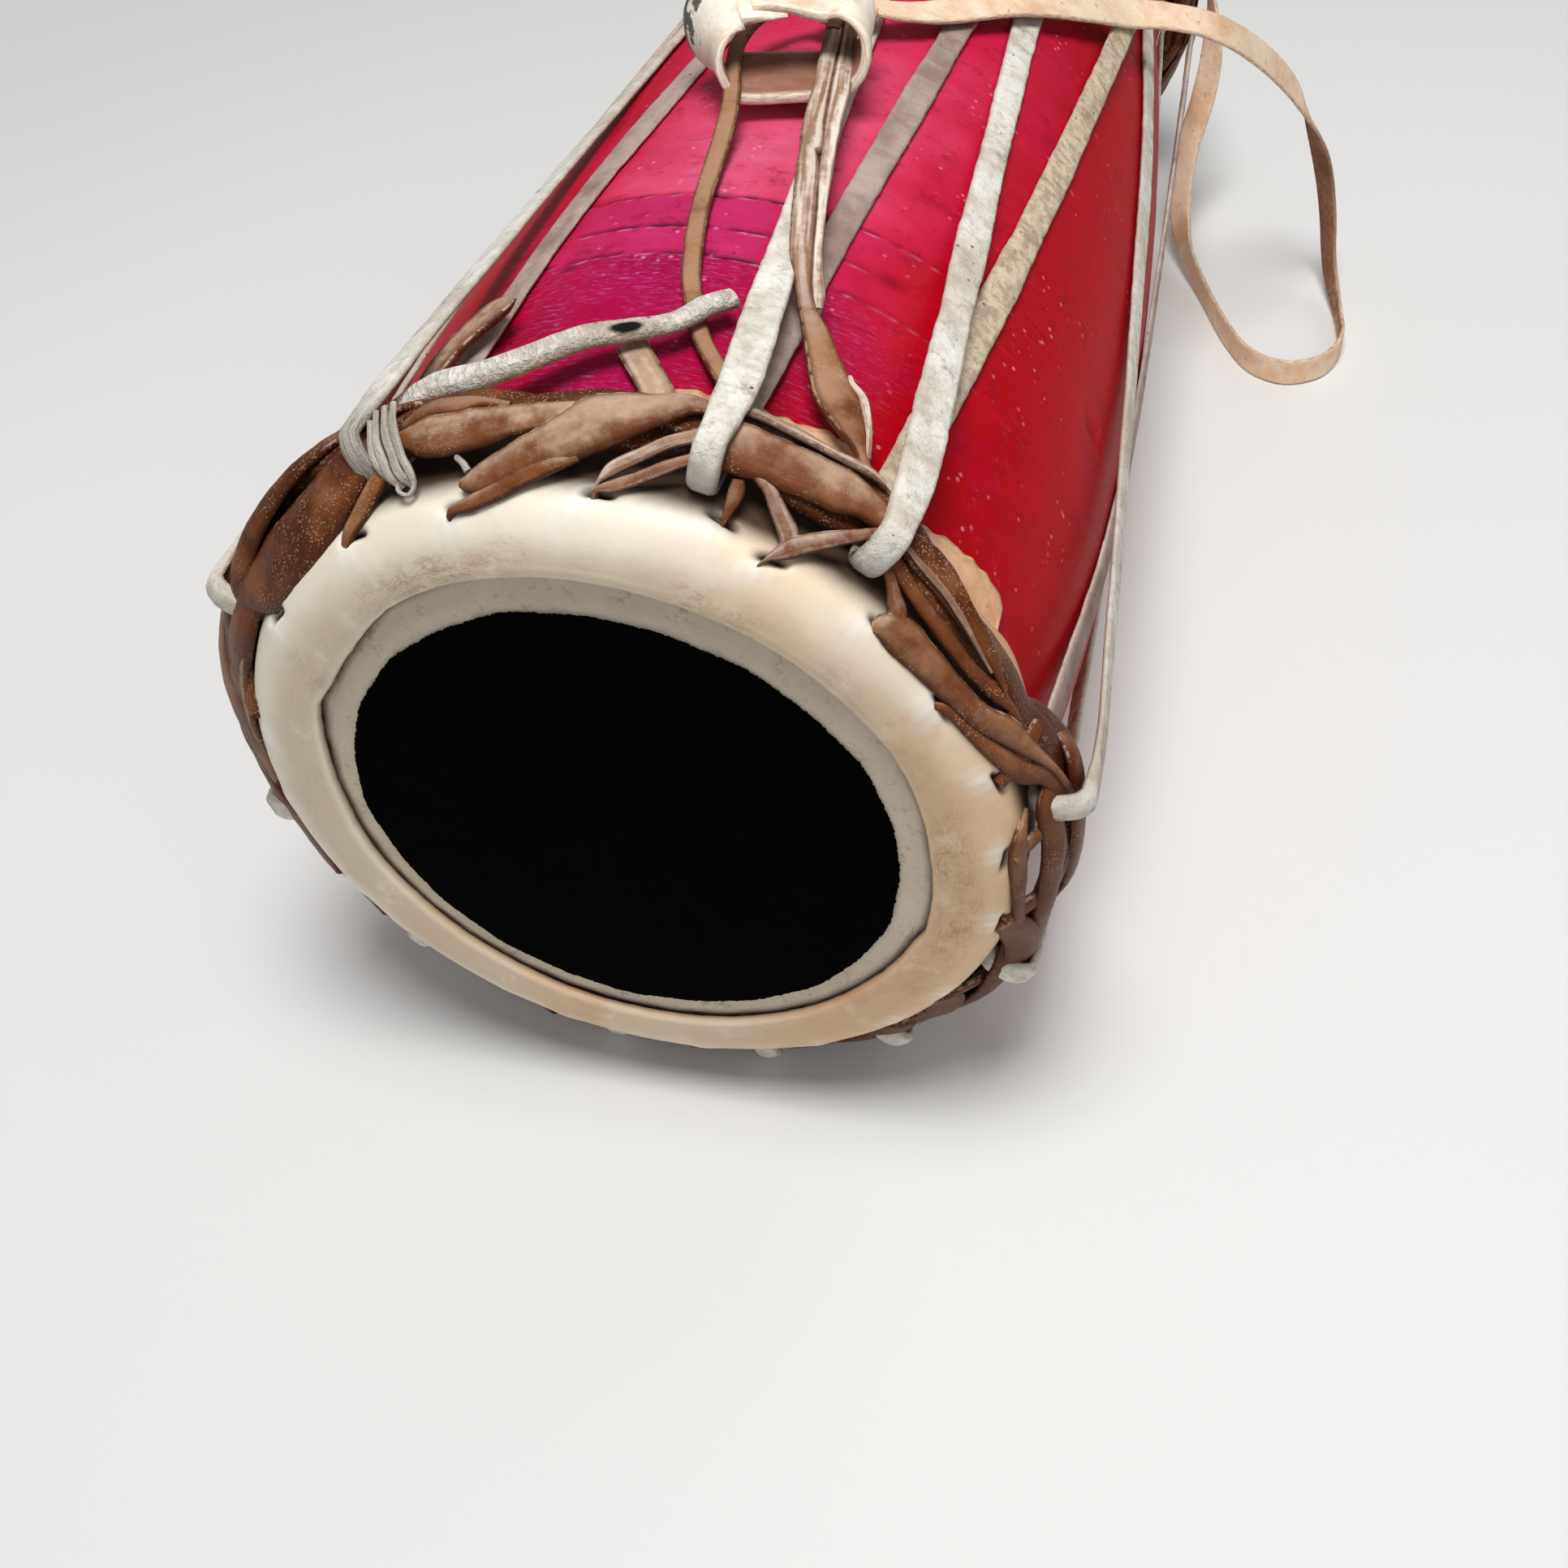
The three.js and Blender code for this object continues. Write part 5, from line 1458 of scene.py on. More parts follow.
# Strips from a slit anywhere round a hoop: broad ones rise from it, narrow ones lie on the core after it
# rises: angle, place, radius, and whether the slit's depth and a random shift are added to the place
broadStrip = {
    "shift": (-1.2, 1.2), "width": (3.4, 4.7), "thick": (0.9, 1.1), "tint": (0.15, 0.75),
    "rises": (
        (0, 0, 83.6, 1, 0), (3, 3.2, 87, 1, 0), (7.5, 9.6, 90.4, 0, 0), (13, 12.6, 93.6, 0, 1),
        (20, 16, 95.8, 0, 1), (29, 20, 96.2, 0, 0), (38, 24.4, 95, 0, 0), (46, 28.4, 92, 0, 0),
    ),
}
narrowStrip = {
    "shift": (-1.0, 1.0), "width": (2.2, 3.2), "thick": (0.8, 1.0), "tint": (0.0, 0.5),
    "rises": (
        (2, 12, 88.6, 0, 1), (8, 11.4, 91.6, 0, 1), (16, 13.4, 94.4, 0, 1), (25, 17.4, 95.9, 0, 1),
        (34, 22, 95.9, 0, 1), (43, 26.6, 94, 0, 1), (50, 29.6, 91, 0, 1),
    ),
}


def windingStrip(head, kind, angle, behind, rng):
    shift = rng.uniform(*kind["shift"])
    rises = [(a, y + behind * deep + shift * moved, r) for a, y, r, deep, moved in kind["rises"]]
    width, thick, tint = [rng.uniform(*kind[size]) for size in ("width", "thick", "tint")]
    return strip(head, roundHoop(head, angle, rises), width, thick, tint, winding["curl"])


def makeHoop(head, slits, seed):
    rng = random.Random(seed)
    strands = coreStrands(head)
    if head["prefix"] == "large":
        for edges, thick, tint, curl, pale in seenStrips.values():
            strands.append(edgeStrip(edges, thick, tint, curl + winding["curl"], pale, winding["thinned"]))
        slits = [slit for slit in slits if slit[0] > winding["windFrom"]]
    strands += [windingStrip(head, broadStrip, angle, behind, rng) for angle, behind in slits]
    for angle, behind in slits:
        after = angle + rng.uniform(*winding["narrowAfter"])
        strands.append(windingStrip(head, narrowStrip, after, behind, rng))
    sizes = {"Step": 1.2, "Sides": 18, "Squareness": 0.72, "Edge Wobble": 0.14, "Lumps": 0.4}
    sizes["Seed"] = float(seed)
    name = head["prefix"] + "_hoop_wrap"
    mesh = thongMesh(name, strands, sizes, brownRawhide)
    replaced = [head["prefix"] + "_hoop_strand_a", head["prefix"] + "_hoop_strand_b"]
    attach(settle(name, mesh, drumToObject, replaced), "drum")


# Stitching: narrow folded thongs that dip into the slits
seenStitches = {
    "hairpin upper": ([
        (2.6, 6.6, 84.4, 2.9, 6, 83.8), (3.1, 7.8, 87.1, 3.4, 7.1, 86.4), (4.1, 10.3, 89.6, 5, 8.6, 87.9),
        (7.1, 12.8, 91.9, 8.1, 11.3, 90.5), (9.7, 15.5, 93.8, 10.6, 13.7, 92.6),
        (12.5, 18.2, 95, 13.3, 15.7, 93.9), (14.5, 21.5, 95.6, 15.5, 18, 95),
    ], 0.8, 0.62, 0.0, 0.55),
    "hairpin lower": ([
        (2.6, 6, 84, 3, 5.2, 83.4), (3, 6.7, 86.1, 3.3, 6, 85.4), (4.5, 7.9, 87.2, 5.4, 6.2, 85.8),
        (7.5, 9.7, 89, 8.5, 8.3, 87.6), (10.4, 12.1, 91.2, 11.3, 10.5, 89.8),
        (13.4, 14.3, 93.1, 14.2, 13.2, 92.2), (15.5, 16.7, 94.5, 16.1, 15.2, 93.6),
    ], 0.8, 0.5, 0.0, 0.25),
    "upright": ([
        (18.6, 15.6, 94, 20.6, 17, 94.6), (20, 13.8, 92.9, 22, 15.4, 93.9),
        (21.8, 12.3, 91.7, 23.4, 13.5, 92.6), (23.5, 10.1, 89.6, 25.6, 11.3, 90.7),
        (25.7, 7.7, 87.2, 27.8, 9.5, 89), (26.5, 6.3, 85.9, 28.3, 7.6, 87.2),
    ], 0.8, 0.6, 0.0, 0.35),
    "cross": ([
        (24.8, 3.2, 82.2, 25.2, 2.8, 81.8), (25.4, 3.8, 84.4, 25.8, 3.5, 84.2),
        (25.7, 5.3, 86, 27.5, 4.7, 85.4), (26.6, 7.2, 87.8, 29.2, 6.1, 86.7),
        (28.6, 9.2, 89.7, 30.6, 7.6, 88.1), (31.3, 11.4, 91.9, 32.7, 9.9, 90.4),
        (33.6, 13.4, 93.5, 34.5, 11.9, 92.3), (35.3, 15.2, 94.8, 36.2, 13.6, 93.7),
    ], 0.9, 0.56, 0.0, 0.3),
    "tuck": ([
        (37.6, 14, 92.6, 36.4, 13, 91.8), (38.7, 12.9, 91.9, 37.4, 11.8, 91),
        (40.6, 11.4, 90.6, 39.7, 10.1, 89.4), (42.6, 9.9, 89.2, 41.4, 8, 87.3),
        (44.3, 8.5, 88.2, 42.3, 6.3, 86.2), (45, 7, 86.6, 42.8, 4.6, 84.6),
    ], 0.9, 0.36, 0.0, 0.15),
    "left tuck": ([
        (-26.8, 12.4, 92, -24.8, 10.6, 90.4), (-28, 10.5, 90.3, -25.9, 8.7, 88.5),
        (-30.1, 8.6, 88.4, -27.5, 7.3, 87.1), (-32.4, 6.6, 86.5, -29.6, 5.3, 85.3),
        (-34.5, 4.6, 84.7, -32.4, 3.6, 83.7), (-35.8, 3.3, 82.8, -34.3, 2.5, 82),
    ], 0.9, 0.74, 0.1, 0.0),
    "bead": ([
        (18.2, 13, 91, 19.6, 13.4, 91.4), (18.2, 11.6, 89.6, 20.2, 12, 90),
        (18.3, 9.6, 88.2, 20.1, 9.8, 88.4), (18.6, 8, 86, 19.6, 8, 86), (18.9, 7, 84, 19.3, 7, 84),
    ], 1.0, 0.1, 0.0, 0.0),
}


def makeStitching(head, slits, seed):
    rng = random.Random(seed)
    strands = []
    if head["prefix"] == "large":
        strands = [edgeStrip(*entry) for entry in seenStitches.values()]
        slits = [slit for slit in slits if slit[0] > winding["stitchFrom"]]
    for angle, behind in slits:
        lean = rng.uniform(-5.5, -3.0)
        places = roundHoop(head, angle, [
            (lean, 14.6, 92.6), (lean * 0.7, 11.4, 90.4), (lean * 0.3, 7.6, 87), (0.0, behind, 83.6),
        ])
        width, tint = rng.uniform(1.4, 2.2), rng.uniform(0.2, 0.6)
        strands.append(strip(head, places, width, winding["stitchThick"], tint))
    sizes = {"Step": 0.9, "Sides": 12, "Squareness": 0.7, "Edge Wobble": 0.15, "Lumps": 0.25}
    sizes["Seed"] = float(seed)
    name = head["prefix"] + "_slit_stitches"
    mesh = thongMesh(name, strands, sizes, brownRawhide)
    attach(settle(name, mesh, drumToObject, [head["prefix"] + "_hoop_stitching"]), "drum")


for head, slits, seed in ((largeHead, largeSlits, 5), (smallHead, smallSlits, 6)):
    makeHoop(head, slits, seed)
    makeStitching(head, slits, seed + 30)
print("hoops wound")


# Lace: zigzags between the hoops, round the outside of each
# looped, farLooped and knotted: narrowing, bend and weathering of the turns round the hoops
lace = {
    "halfWidth": 3.9, "halfThick": 0.85, "rest": 0.3, "top": 0.8, "steps": 14, "lap": 4, "tuck": 0.5,
    "width": (0.94, 1.06), "varied": (0.9, 1.08), "curl": (-0.03, 0.07), "tints": (0.8, 0.3),
    "looped": (0.82, 1.0, 0.0), "farLooped": (0.86, 1.0, 0.0), "knotted": (0.62, 0.6, -0.7),
    "bentThick": 0.5, "bentCurl": 0.26,
}
loopAngles = [15, 37, 82.5, 119, 146, 168, 192, 225, 255, 296, 331.6]


def tautLine(start, end):
    points = [start]
    for i in range(1, lace["steps"]):
        y = start[0] + (end[0] - start[0]) * i / lace["steps"]
        points.append((y, woodRadius(y) + lace["rest"] + lace["halfThick"]))
    points.append(end)
    hull = []
    for p in points:
        while len(hull) > 1:
            (ay, ar), (by, br) = hull[-2:]
            if (by - ay) * (p[1] - ar) - (br - ar) * (p[0] - ay) < 0:
                break
            hull.pop()
        hull.append(p)
    ys, rs = zip(*hull)
    return [(p[0], float(np.interp(p[0], ys, rs))) for p in points]


def hoopTurn(head):
    over, under = head["laceOver"], head["laceUnder"]
    front, behind, bend = hoop["laceFront"], hoop["laceBehind"], hoop["bend"]
    cut = bend * (1 - math.sqrt(0.5))
    diagonal = math.sqrt(0.5)
    # place behind the face, radius, facing as (outward, along the axis)
    return [
        (behind, over, 1, 0), (front + bend, over, 1, 0), (front + cut, over - cut, diagonal, -diagonal),
        (front, over - bend, 0, -1), (front, under + bend, 0, -1),
        (front + cut, under + cut, -diagonal, -diagonal), (front + bend, under, -1, 0),
        (behind, under, -1, 0),
    ]


laceStart, laceStop = hoop["laceBehind"], barrel["length"] - hoop["laceBehind"]
outerLine = tautLine((laceStart, largeHead["laceOver"]), (laceStop, smallHead["laceUnder"]))
innerLine = tautLine((laceStart, largeHead["laceUnder"]), (laceStop, smallHead["laceOver"]))


def laceTop(y):
    return float(np.interp(y, *zip(*outerLine))) + lace["top"]


def makeLace(index, angle, fromAngle, toAngle, rng):
    rows = []
    width = lace["halfWidth"] * rng.uniform(*lace["width"])

    def add(at, y, radius, out, axial, narrow=1.0, bent=0.0, weathered=0.0):
        facing = outward(at) * out + np.array([0.0, axial, 0.0])
        thick = lace["halfThick"] * (1 + lace["bentThick"] * bent)
        curl = rng.uniform(*lace["curl"]) - lace["bentCurl"] * bent
        rows.append(row(place(at, y, radius), facing, width * narrow, thick, curl, weathered))

    def slide(y, far):
        return angle + (far - angle) * (y - laceStart) / (laceStop - laceStart)

    lapEnd = laceStop + lace["lap"]
    add(fromAngle, lapEnd, smallHead["laceUnder"], 1, 0)
    for y, radius in outerLine[::-1]:
        add(slide(y, fromAngle), y, radius, 1, 0, rng.uniform(*lace["varied"]))
    kind = "knotted" if index == len(loopAngles) else "looped"
    for y, radius, out, axial in hoopTurn(largeHead)[1:-1]:
        add(angle, y, radius, out, axial, *lace[kind])
    for y, radius in innerLine:
        add(slide(y, toAngle), y, radius, -1, 0, rng.uniform(*lace["varied"]))
    for y, radius, out, axial in hoopTurn(smallHead)[1:-2]:
        add(toAngle, barrel["length"] - y, radius, -out, axial, *lace["farLooped"])
    add(toAngle, lapEnd + lace["tuck"], smallHead["laceUnder"], 1, 0)
    sizes = {"Step": 1.6, "Sides": 14, "Squareness": 0.5, "Edge Wobble": 0.15, "Lumps": 0.22}
    sizes["Seed"] = float(index)
    name = "lace_run_%02d" % index
    mesh = thongMesh(name, [strand(rows, lace["tints"][index % 2], 6)], sizes, whiteLace)
    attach(settle(name, mesh, drumToObject, ["tension_lace_%02d" % index]), "drum")


def makeLaces():
    rng = random.Random(14)
    count = len(loopAngles)
    far = []
    for i, angle in enumerate(loopAngles):
        following = loopAngles[i + 1] if i + 1 < count else loopAngles[0] + 360
        far.append((angle + following) / 2)
    for i, angle in enumerate(loopAngles):
        fromAngle = far[i - 1] if i else far[-1] - 360
        makeLace(i + 1, angle, fromAngle, far[i], rng)


# Knot of the lace in front of its last loop: frayed strands round the hoop, one of them curled at its end
knotStrands = [
    [
        (-25.6, 17, 98.7, -25, 17.8, 99.1), (-26, 12.3, 95.4, -24.8, 12.6, 95.6),
        (-25.4, 9.3, 92.3, -24.1, 9.5, 92.5), (-24.5, 6.8, 89.9, -23.4, 7.2, 90.3),
        (-24, 7, 87, -23, 7.4, 87.4),
    ],
    [
        (-24.7, 17.8, 98.6, -24, 18.6, 99), (-24.4, 12.9, 96.1, -23.4, 13.3, 96.4),
        (-23.7, 9.2, 92.6, -22.6, 9.5, 92.9), (-23, 6.7, 90.1, -21.8, 7, 90.5),
        (-22.4, 7, 87, -21.4, 7.4, 87.4),
    ],
    [
        (-23.7, 18.5, 98.5, -23, 19.3, 98.8), (-23.4, 14, 96.8, -22.3, 14.5, 97.1),
        (-22.6, 9.6, 92.6, -21.6, 10, 93), (-21.7, 7, 90, -20.6, 7.5, 90.6),
        (-21.4, 6.2, 87.7, -20.8, 6.3, 87.8), (-22.3, 5.3, 86.8, -21.9, 4.7, 86.4),
        (-23.2, 5.8, 87.4, -23.8, 5.7, 87.3), (-23.3, 6.8, 88.2, -23.7, 7.2, 88.7),
        (-22.5, 6.9, 88.4, -22.4, 7.4, 88.8),
    ],
    [
        (-26.6, 15.8, 97.7, -26, 16.6, 98.2), (-26.9, 11.3, 93.9, -25.9, 11.7, 94.1),
        (-26.3, 9.1, 91.4, -25.4, 9.6, 92), (-25.6, 8.6, 88, -24.8, 9, 88.4),
    ],
    [
        (-15.8, 11, 89.6, -15, 10, 88.6), (-15.4, 9.8, 90.4, -14.7, 8.7, 89.3),
        (-14.1, 9, 89.9, -14.3, 7.8, 88.7), (-13.2, 7.7, 88.6, -13.9, 6.8, 87.8),
    ],
]
laceKnot = {"halfThick": 0.5, "tint": 0.35, "tintStep": 0.1, "pale": -0.5}


def makeLaceKnot():
    strands = []
    for i, edges in enumerate(knotStrands):
        tint = laceKnot["tint"] + laceKnot["tintStep"] * i
        strands.append(edgeStrip(edges, laceKnot["halfThick"], tint, 0.0, laceKnot["pale"]))
    sizes = {"Step": 0.5, "Sides": 14, "Squareness": 0.8, "Edge Wobble": 0.2, "Lumps": 0.22, "Seed": 2.0}
    mesh = thongMesh("lace_knot_turns", strands, sizes, whiteLace)
    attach(settle("lace_knot_turns", mesh, drumToObject, ["lace_knot"]), "drum")


makeLaces()
makeLaceKnot()
print("laces drawn")


# Carrying loop: a smooth left leg, the bight in the ring, and a doubled, frayed right leg that twists flat
leftLeg = [
    (13.4, 33, 90, 14.6, 37, 90), (11.7, 40, 88.4, 13, 44.3, 88.1), (9.9, 44.3, 88.1, 11.2, 48.6, 87.8),
    (7.2, 50.4, 87.7, 9.5, 52, 87.8), (4.4, 57.1, 88.1, 6.4, 59.8, 88.2),
    (1.9, 66.2, 88.5, 4.2, 68.5, 88.6), (-0.4, 75.7, 89.1, 2.3, 76.5, 89.1),
    (-2.3, 88, 89.9, 0.5, 88.6, 90), (-3.9, 101.3, 90.6, -1.1, 101.7, 90.7),
    (-5.1, 115.9, 91.2, -2.2, 116.1, 91.2), (-5.6, 128.4, 93.3, -2.6, 128.6, 93.3),
    (-6, 140.6, 96.3, -3.4, 140.6, 96.4), (-8.2, 158.2, 98.5, -5.9, 157.9, 98.5),
    (-9.4, 172, 98.2, -7.1, 172, 98.2), (-8, 187, 97.8, -6, 184.6, 97.8),
    (-0.6, 198.4, 96.2, -0.6, 195.2, 96.2), (4.6, 187, 97.8, 2.8, 184.6, 97.8),
    (5.2, 178, 98.2, 3.4, 177, 98.2),
]
rightLeg = [
    (2.6, 183.6, 97.9, 4.6, 186, 97.9), (3.5, 174.9, 97.7, 5.6, 176.5, 97.6),
    (5, 158, 98.5, 7.2, 158.8, 98.4), (6.1, 144.9, 98.5, 8.4, 145.4, 98.5),
    (7.1, 130.9, 98, 9.8, 131.2, 98), (8.1, 121.4, 97.6, 11, 121.7, 97.7),
    (8.5, 118.6, 97.9, 10.4, 119.6, 97.9), (9.1, 112.1, 97.6, 11.7, 113.4, 97.5),
    (10.8, 98.3, 97.9, 13.3, 100.2, 97.8), (12.9, 82.4, 97.3, 15.4, 84, 97.5),
    (14.3, 75.7, 96.2, 16.5, 77.1, 96.4), (15.9, 69.5, 95.2, 17.6, 70.5, 95.3),
    (17.3, 64.5, 94.4, 18.9, 66.6, 94.7), (18.9, 59.2, 93.5, 21, 63, 94.1),
    (20.9, 52.4, 92.4, 23.6, 57.8, 93.3), (23.1, 45.7, 91.1, 26.2, 52.7, 92.4),
    (25.5, 42, 90.5, 28.2, 48.6, 91.7), (28.4, 38.9, 89.9, 30, 43.9, 90.8),
    (30.3, 37.2, 89.6, 31.3, 39.5, 90), (31.9, 33.4, 89.3, 32.8, 35.4, 89.6),
]
rightTwin = [
    (5, 186, 97.9, 6.6, 187, 97.9), (6, 175.7, 97.4, 7.9, 176.4, 97.4),
    (7.4, 160, 98.4, 9.6, 159.8, 98.4), (8.7, 145.6, 98.5, 10.9, 146.4, 98.5),
    (10, 131.3, 98, 11.9, 132.3, 98.1), (11.2, 120.8, 97.6, 12.8, 121.3, 97.6),
    (12.2, 111.2, 97.6, 13.7, 112, 97.6), (13.7, 99.4, 97.9, 14.8, 99.9, 97.9),
    (15.6, 84.1, 97.5, 16.6, 84.5, 97.6), (16.7, 76.6, 96.3, 17.9, 77.1, 96.4),
    (17.9, 70, 95.2, 19.1, 71.8, 95.5), (19, 65.9, 94.6, 19.6, 67.3, 94.8),
]
rightSliver = [
    (25.8, 53, 92.4, 26.2, 54, 92.6), (26.5, 51, 92.3, 26.9, 52.4, 92.6),
    (28.2, 48.8, 92, 28.8, 50.8, 92.4), (29.6, 44.9, 91.3, 30.4, 46.7, 91.6),
    (30.9, 40.5, 90.5, 31.6, 41.9, 90.8), (31.6, 36, 90, 32.4, 37, 90.1),
]
# Edges, half thickness, tint, curl, pale, and how much wider than the edges
loopLegs = [
    (leftLeg, 0.95, 0.4, -0.1, 0.0, 1.0),
    (rightLeg, 1.1, 0.36, -0.16, 0.75, 1.12),
    (rightTwin, 1.0, 0.4, -0.16, 0.95, 1.2),
    (rightSliver, 0.7, 0.7, 0.0, 0.8, 1.0),
]
dusty = {"from": 58, "over": 26}  # the right leg's twisted flat, before this, is bare


def makeCarryingLoop():
    legs = []
    for *leg, wider in loopLegs:
        legs.append(edgeStrip(*leg))
        legs[-1]["rows"][:, columns["halfWidth"]] *= wider
    rows = legs[1]["rows"]
    rows[:, columns["pale"]] *= np.clip((rows[:, 1] - dusty["from"]) / dusty["over"], 0, 1)
    sizes = {"Step": 0.8, "Sides": 16, "Squareness": 0.55, "Edge Wobble": 0.14, "Lumps": 0.25, "Seed": 9.0}
    mesh = thongMesh("carrying_loop_thong", legs, sizes, tanRawhide)
    piece = settle("carrying_loop_thong", mesh, drumToObject, ["carrying_loop"])
    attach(piece, "carrying_loop")


# Ring: a band of thick cream leather lapped over itself round both legs
# lap: share of the straight, height over the band and facing of its free end
ring = {
    "width": 40.0, "height": 20.0, "length": 23.0, "wall": 3.0, "clear": 0.4, "at": 162.5, "swing": 12.0,
    "lean": 0.5, "back": 4.0, "leftBack": 1.5, "flare": 0.7, "nod": 0.12, "curl": -0.05, "skived": 0.15,
    "lap": ((0.4, 1.1, 450), (-0.3, 2.0, 450), (-0.8, 1.9, 452)),
}


def makeRing():
    half = ring["height"] / 2 - ring["wall"] / 2
    straight = ring["width"] / 2 - ring["height"] / 2
    seat = laceTop(ring["at"] - ring["length"] / 2) + ring["clear"]
    swing = Matrix.Rotation(math.radians(ring["swing"]), 3, "Z")
    stations = [(0.0, half + ring["clear"], 90)]
    for side, turn in ((-1, np.linspace(90, 270, 11)), (1, np.linspace(270, 450, 11))):
        for t in turn:
            across, up = math.cos(math.radians(t)), math.sin(math.radians(t))
            stations.append((side * straight + half * across, half * up, t))
    lapFrom = len(stations) - 1
    stations += [(straight * share, half + over, t) for share, over, t in ring["lap"]]
    rows = []
    for i, (x, z, t) in enumerate(stations):
        left = min(1.0, max(0.0, -x / (straight + half)))
        late = max(0, i - lapFrom) / len(ring["lap"])
        skived = ring["skived"] if i == 0 else 1 - 0.35 * late
        height = half + ring["wall"] / 2 + z
        at = swing @ Vector((x, ring["lean"] * height - ring["back"] - ring["leftBack"] * left, 0.0))
        spot = (at.x, ring["at"] + at.y, seat + height)
        wide = ring["length"] / 2 * (1 + 0.1 * left - 0.1 * late)
        way = swing @ Vector((math.cos(math.radians(t)), 0.0, math.sin(math.radians(t))))
        way.y -= ring["flare"] * left * max(0.0, -way.x) + ring["nod"] * max(0.0, way.z)
        rows.append(row(spot, way.normalized(), wide, ring["wall"] / 2 * skived, ring["curl"]))
    sizes = {"Step": 1.0, "Sides": 32, "Squareness": 0.35, "Edge Wobble": 0.06, "Lumps": 0.4, "Seed": 17.0}
    mesh = thongMesh("strap_ring_leather", [strand(rows, 0.5, 6)], sizes, creamLeather)
    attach(settle("strap_ring_leather", mesh, drumToObject, ["strap_ring"]), "carrying_loop")


# Knot of the strap: an eye round the bight, drawn tight by two turns round the strap's own root
knot = {
    "along": (0.742, 0.556, -0.374), "aside": (0.6, -0.8, 0.0), "bight": (0.3, 0.954, 0.0), "halfThick": 0.8,
    "eye": (1.2, 198.6, 95.6), "eyeHalf": (6.2, 3.3), "eyeWide": 3.4,
    "root": (6.4, 199.8, 95.8), "rootHalf": (5.9, 3.4), "rootWide": 2.1, "rootLong": 5.4,
}


# A point of an oval turn, from its middle, and the way it faces
def ovalTurn(across, up, half, t):
    at = across * math.cos(t) * half[0] + up * math.sin(t) * half[1]
    way = across * math.cos(t) / half[0] + up * math.sin(t) / half[1]
    return at, way / np.linalg.norm(way)


def makeNearKnot():
    along, aside, bight = (np.array(knot[name]) for name in ("along", "aside", "bight"))
    up = np.cross(aside, along)
    up = up * math.copysign(1.0, up[2])
    eye, root = [], []
    for t in np.linspace(0, 2 * math.pi, 21):
        at, way = ovalTurn(bight, up, knot["eyeHalf"], t)
        eye.append(row(np.array(knot["eye"]) + at, way, knot["eyeWide"], knot["halfThick"], 0.03))
    for t in np.linspace(-0.6, 4 * math.pi + 0.4, 45):
        share = t / (4 * math.pi)
        at, way = ovalTurn(aside, up, knot["rootHalf"], t)
        at = at * (1 + 0.1 * math.sin(share * 9)) + along * (share - 0.5) * knot["rootLong"]
        root.append(row(np.array(knot["root"]) + at, way, knot["rootWide"], knot["halfThick"], 0.05))
    strands = [strand(eye, 0.5, 4), strand(root, 0.7, 3)]
    sizes = {"Step": 0.6, "Sides": 14, "Squareness": 0.6, "Edge Wobble": 0.1, "Lumps": 0.2, "Seed": 5.0}
    mesh = thongMesh("strap_knot_turns", strands, sizes, paleStrap)
    piece = settle("strap_knot_turns", mesh, drumToObject, ["strap_near_knot"])
    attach(piece, "carrying_loop")


# Tie of the strap: a turn round the small hoop, with its end tucked under
tie = {
    "angle": 80, "start": -1.5, "step": 0.25, "lift": 0.35,
    "halfWidth": 4.6, "halfThick": 0.8, "curl": 0.04,
}


def makeFarTie():
    turn = hoopTurn(smallHead)[1:-1]
    ends = hoop["laceFront"] + hoop["laceBehind"]
    loop = turn + [(ends - y, r, out, -axial) for y, r, out, axial in turn][::-1]
    loop = loop + loop[:4]
    rows = []
    for i, (y, r, out, axial) in enumerate(loop):
        facing = outward(tie["angle"]) * out + np.array([0.0, -axial, 0.0])
        at = place(tie["angle"] + tie["step"] * i + tie["start"], barrel["length"] - y, r)
        at = at + facing * (tie["lift"] * i / len(loop))
        rows.append(row(at, facing, tie["halfWidth"], tie["halfThick"], tie["curl"]))
    sizes = {"Step": 0.9, "Sides": 16, "Squareness": 0.5, "Edge Wobble": 0.08, "Lumps": 0.2, "Seed": 6.0}
    mesh = thongMesh("strap_tie_turn", [strand(rows, 0.5, 6)], sizes, paleStrap)
    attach(settle("strap_tie_turn", mesh, drumToObject, ["strap_far_tie"]), "drum")


makeCarryingLoop()
makeRing()
makeNearKnot()
makeFarTie()
print("carrying loop and ties made")


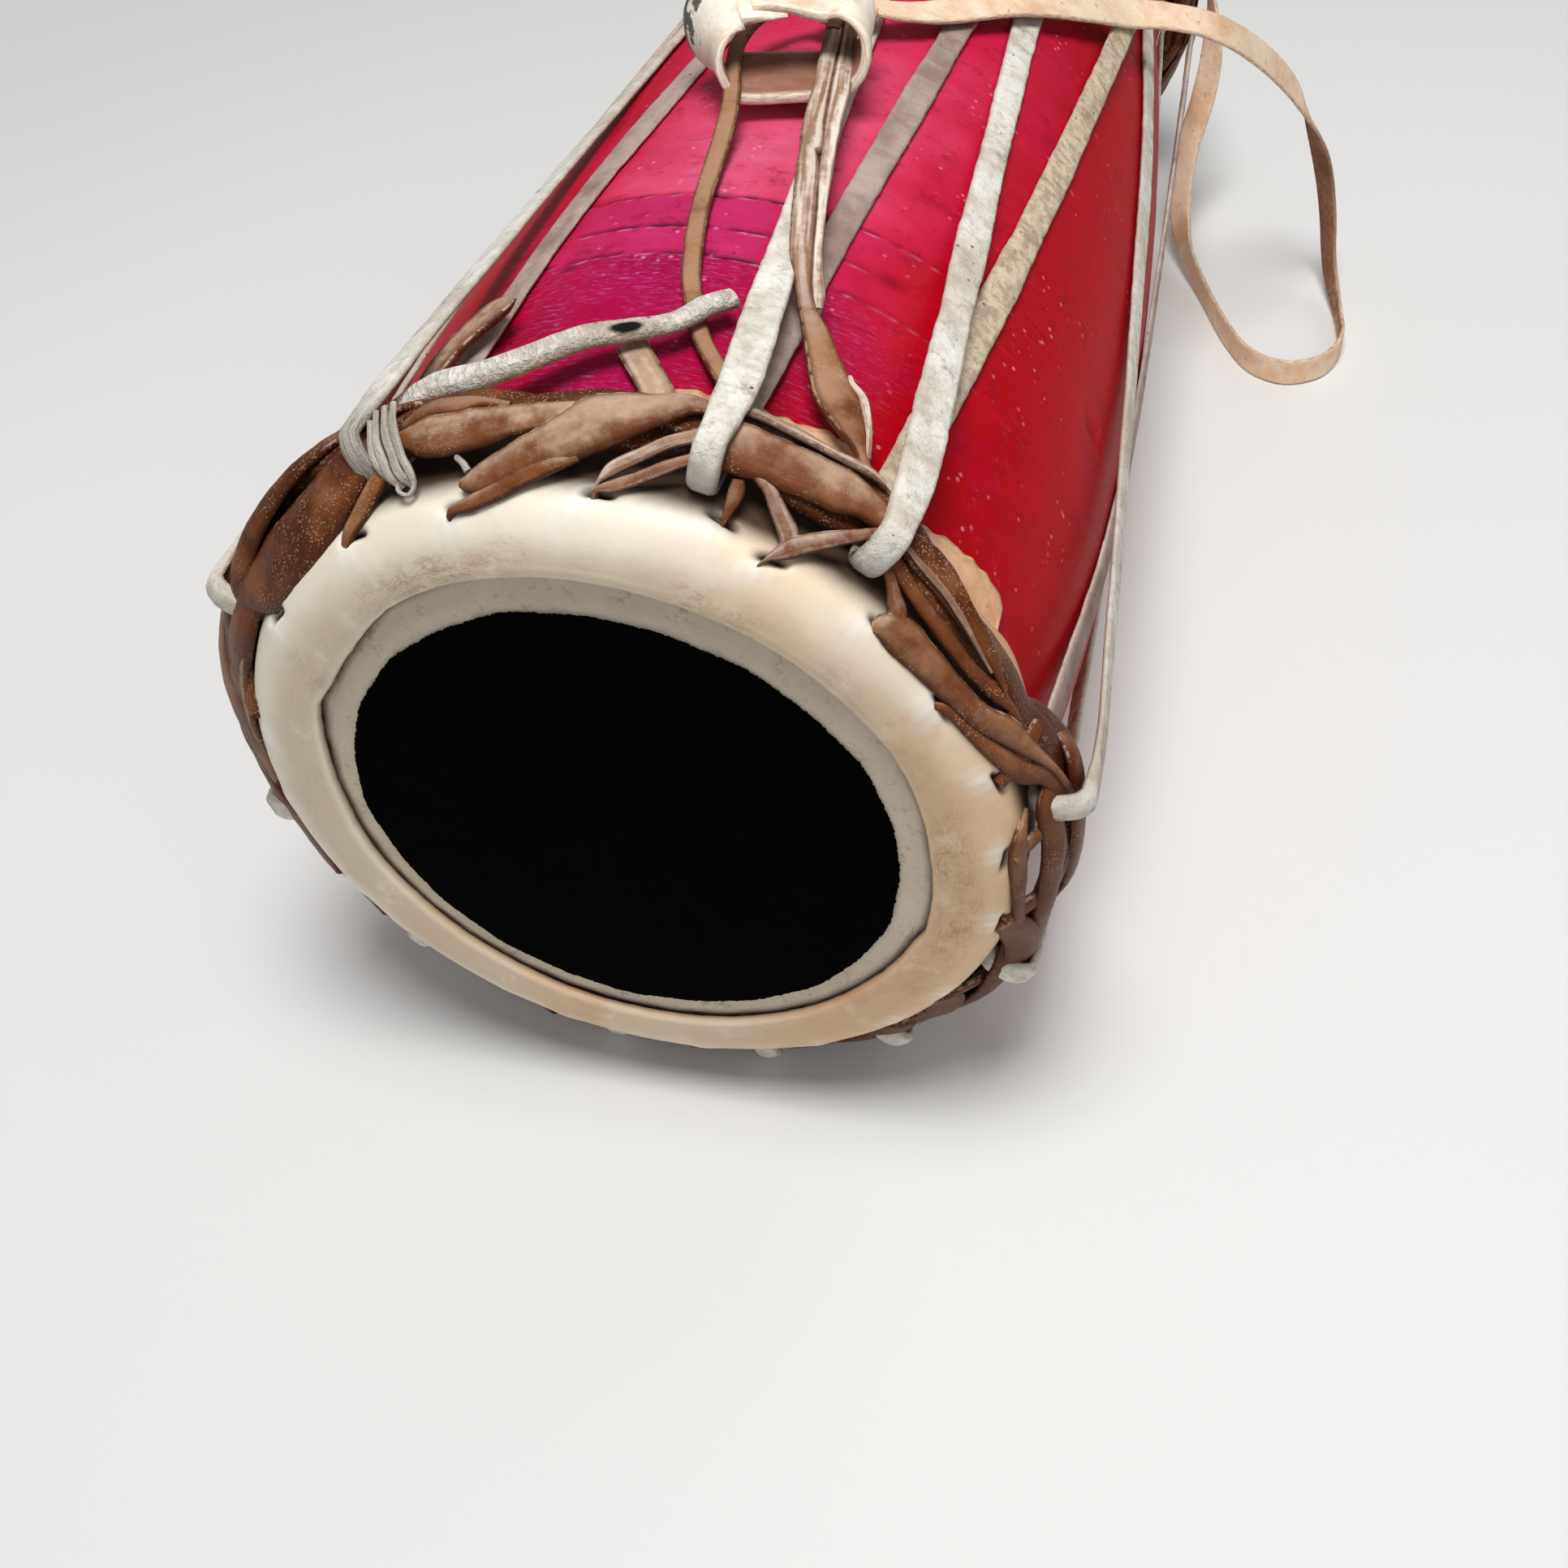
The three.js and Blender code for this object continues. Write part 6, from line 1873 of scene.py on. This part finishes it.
# Stage: a plain pale floor and soft studio light
stage = {"floor": 12.0, "near": 0.4, "far": 1.3, "paper": (0.97, 0.98, 1.0, 1.0), "white": 0.86, "sky": 0.26}
lamps = {
    "key": {"at": (0.1, -0.32, 1.28), "target": (0, -0.05, 0.1), "size": 0.55, "power": 14.0},
    "fill": {"at": (0.6, -1.3, 0.9), "target": (0, -0.15, 0.1), "size": 1.0, "power": 2.2},
    "back": {"at": (0.7, 0.9, 0.9), "target": (0, 0.1, 0.1), "size": 0.8, "power": 2.0},
}


def makeStage():
    f = Finish("pale_floor", Specular_IOR_Level=0.0, Roughness=0.9)
    where = f.node("ShaderNodeTexCoord", None, None, "Object")
    far = f.rise(f.length(where), stage["near"], stage["far"])
    seen = f.node("ShaderNodeLightPath", None, None, "Is Camera Ray")
    f.colour(f.mix(far, paint(228, 228, 226), (0.0, 0.0, 0.0, 1.0)))
    f.put(f.shader.inputs["Emission Color"], f.mix(far * seen, (0.0, 0.0, 0.0, 1.0), stage["paper"]))
    f.shader.inputs["Emission Strength"].default_value = stage["white"]
    mesh = bpy.data.meshes.new("floor")
    size = stage["floor"] / 2
    corners = [(-size, -size, 0), (size, -size, 0), (size, size, 0), (-size, size, 0)]
    mesh.from_pydata(corners, [], [(0, 1, 2, 3)])
    mesh.materials.append(f.material)
    floor = bpy.data.objects.new("floor", mesh)
    scene.collection.objects.link(floor)


def addLamp(name, at, target, size, power):
    lamp = bpy.data.lights.new(name, "AREA")
    lamp.shape = "DISK"
    lamp.size = size
    lamp.energy = power
    lampObject = bpy.data.objects.new(name, lamp)
    lampObject.location = at
    way = Vector(target) - Vector(at)
    lampObject.rotation_euler = way.to_track_quat("-Z", "Y").to_euler()
    scene.collection.objects.link(lampObject)


def makeLight():
    world = bpy.data.worlds.new("studio")
    world.use_nodes = True
    kit = NodeKit(world.node_tree)
    sky = world.node_tree.nodes["Background"]
    sky.inputs["Color"].default_value = stage["paper"]
    seen = kit.node("ShaderNodeLightPath", None, None, "Is Camera Ray")
    kit.put(sky.inputs["Strength"], seen * (stage["white"] - stage["sky"]) + stage["sky"])
    scene.world = world
    for name, lamp in lamps.items():
        addLamp(name, **lamp)


makeStage()
makeLight()
print("stage lit")
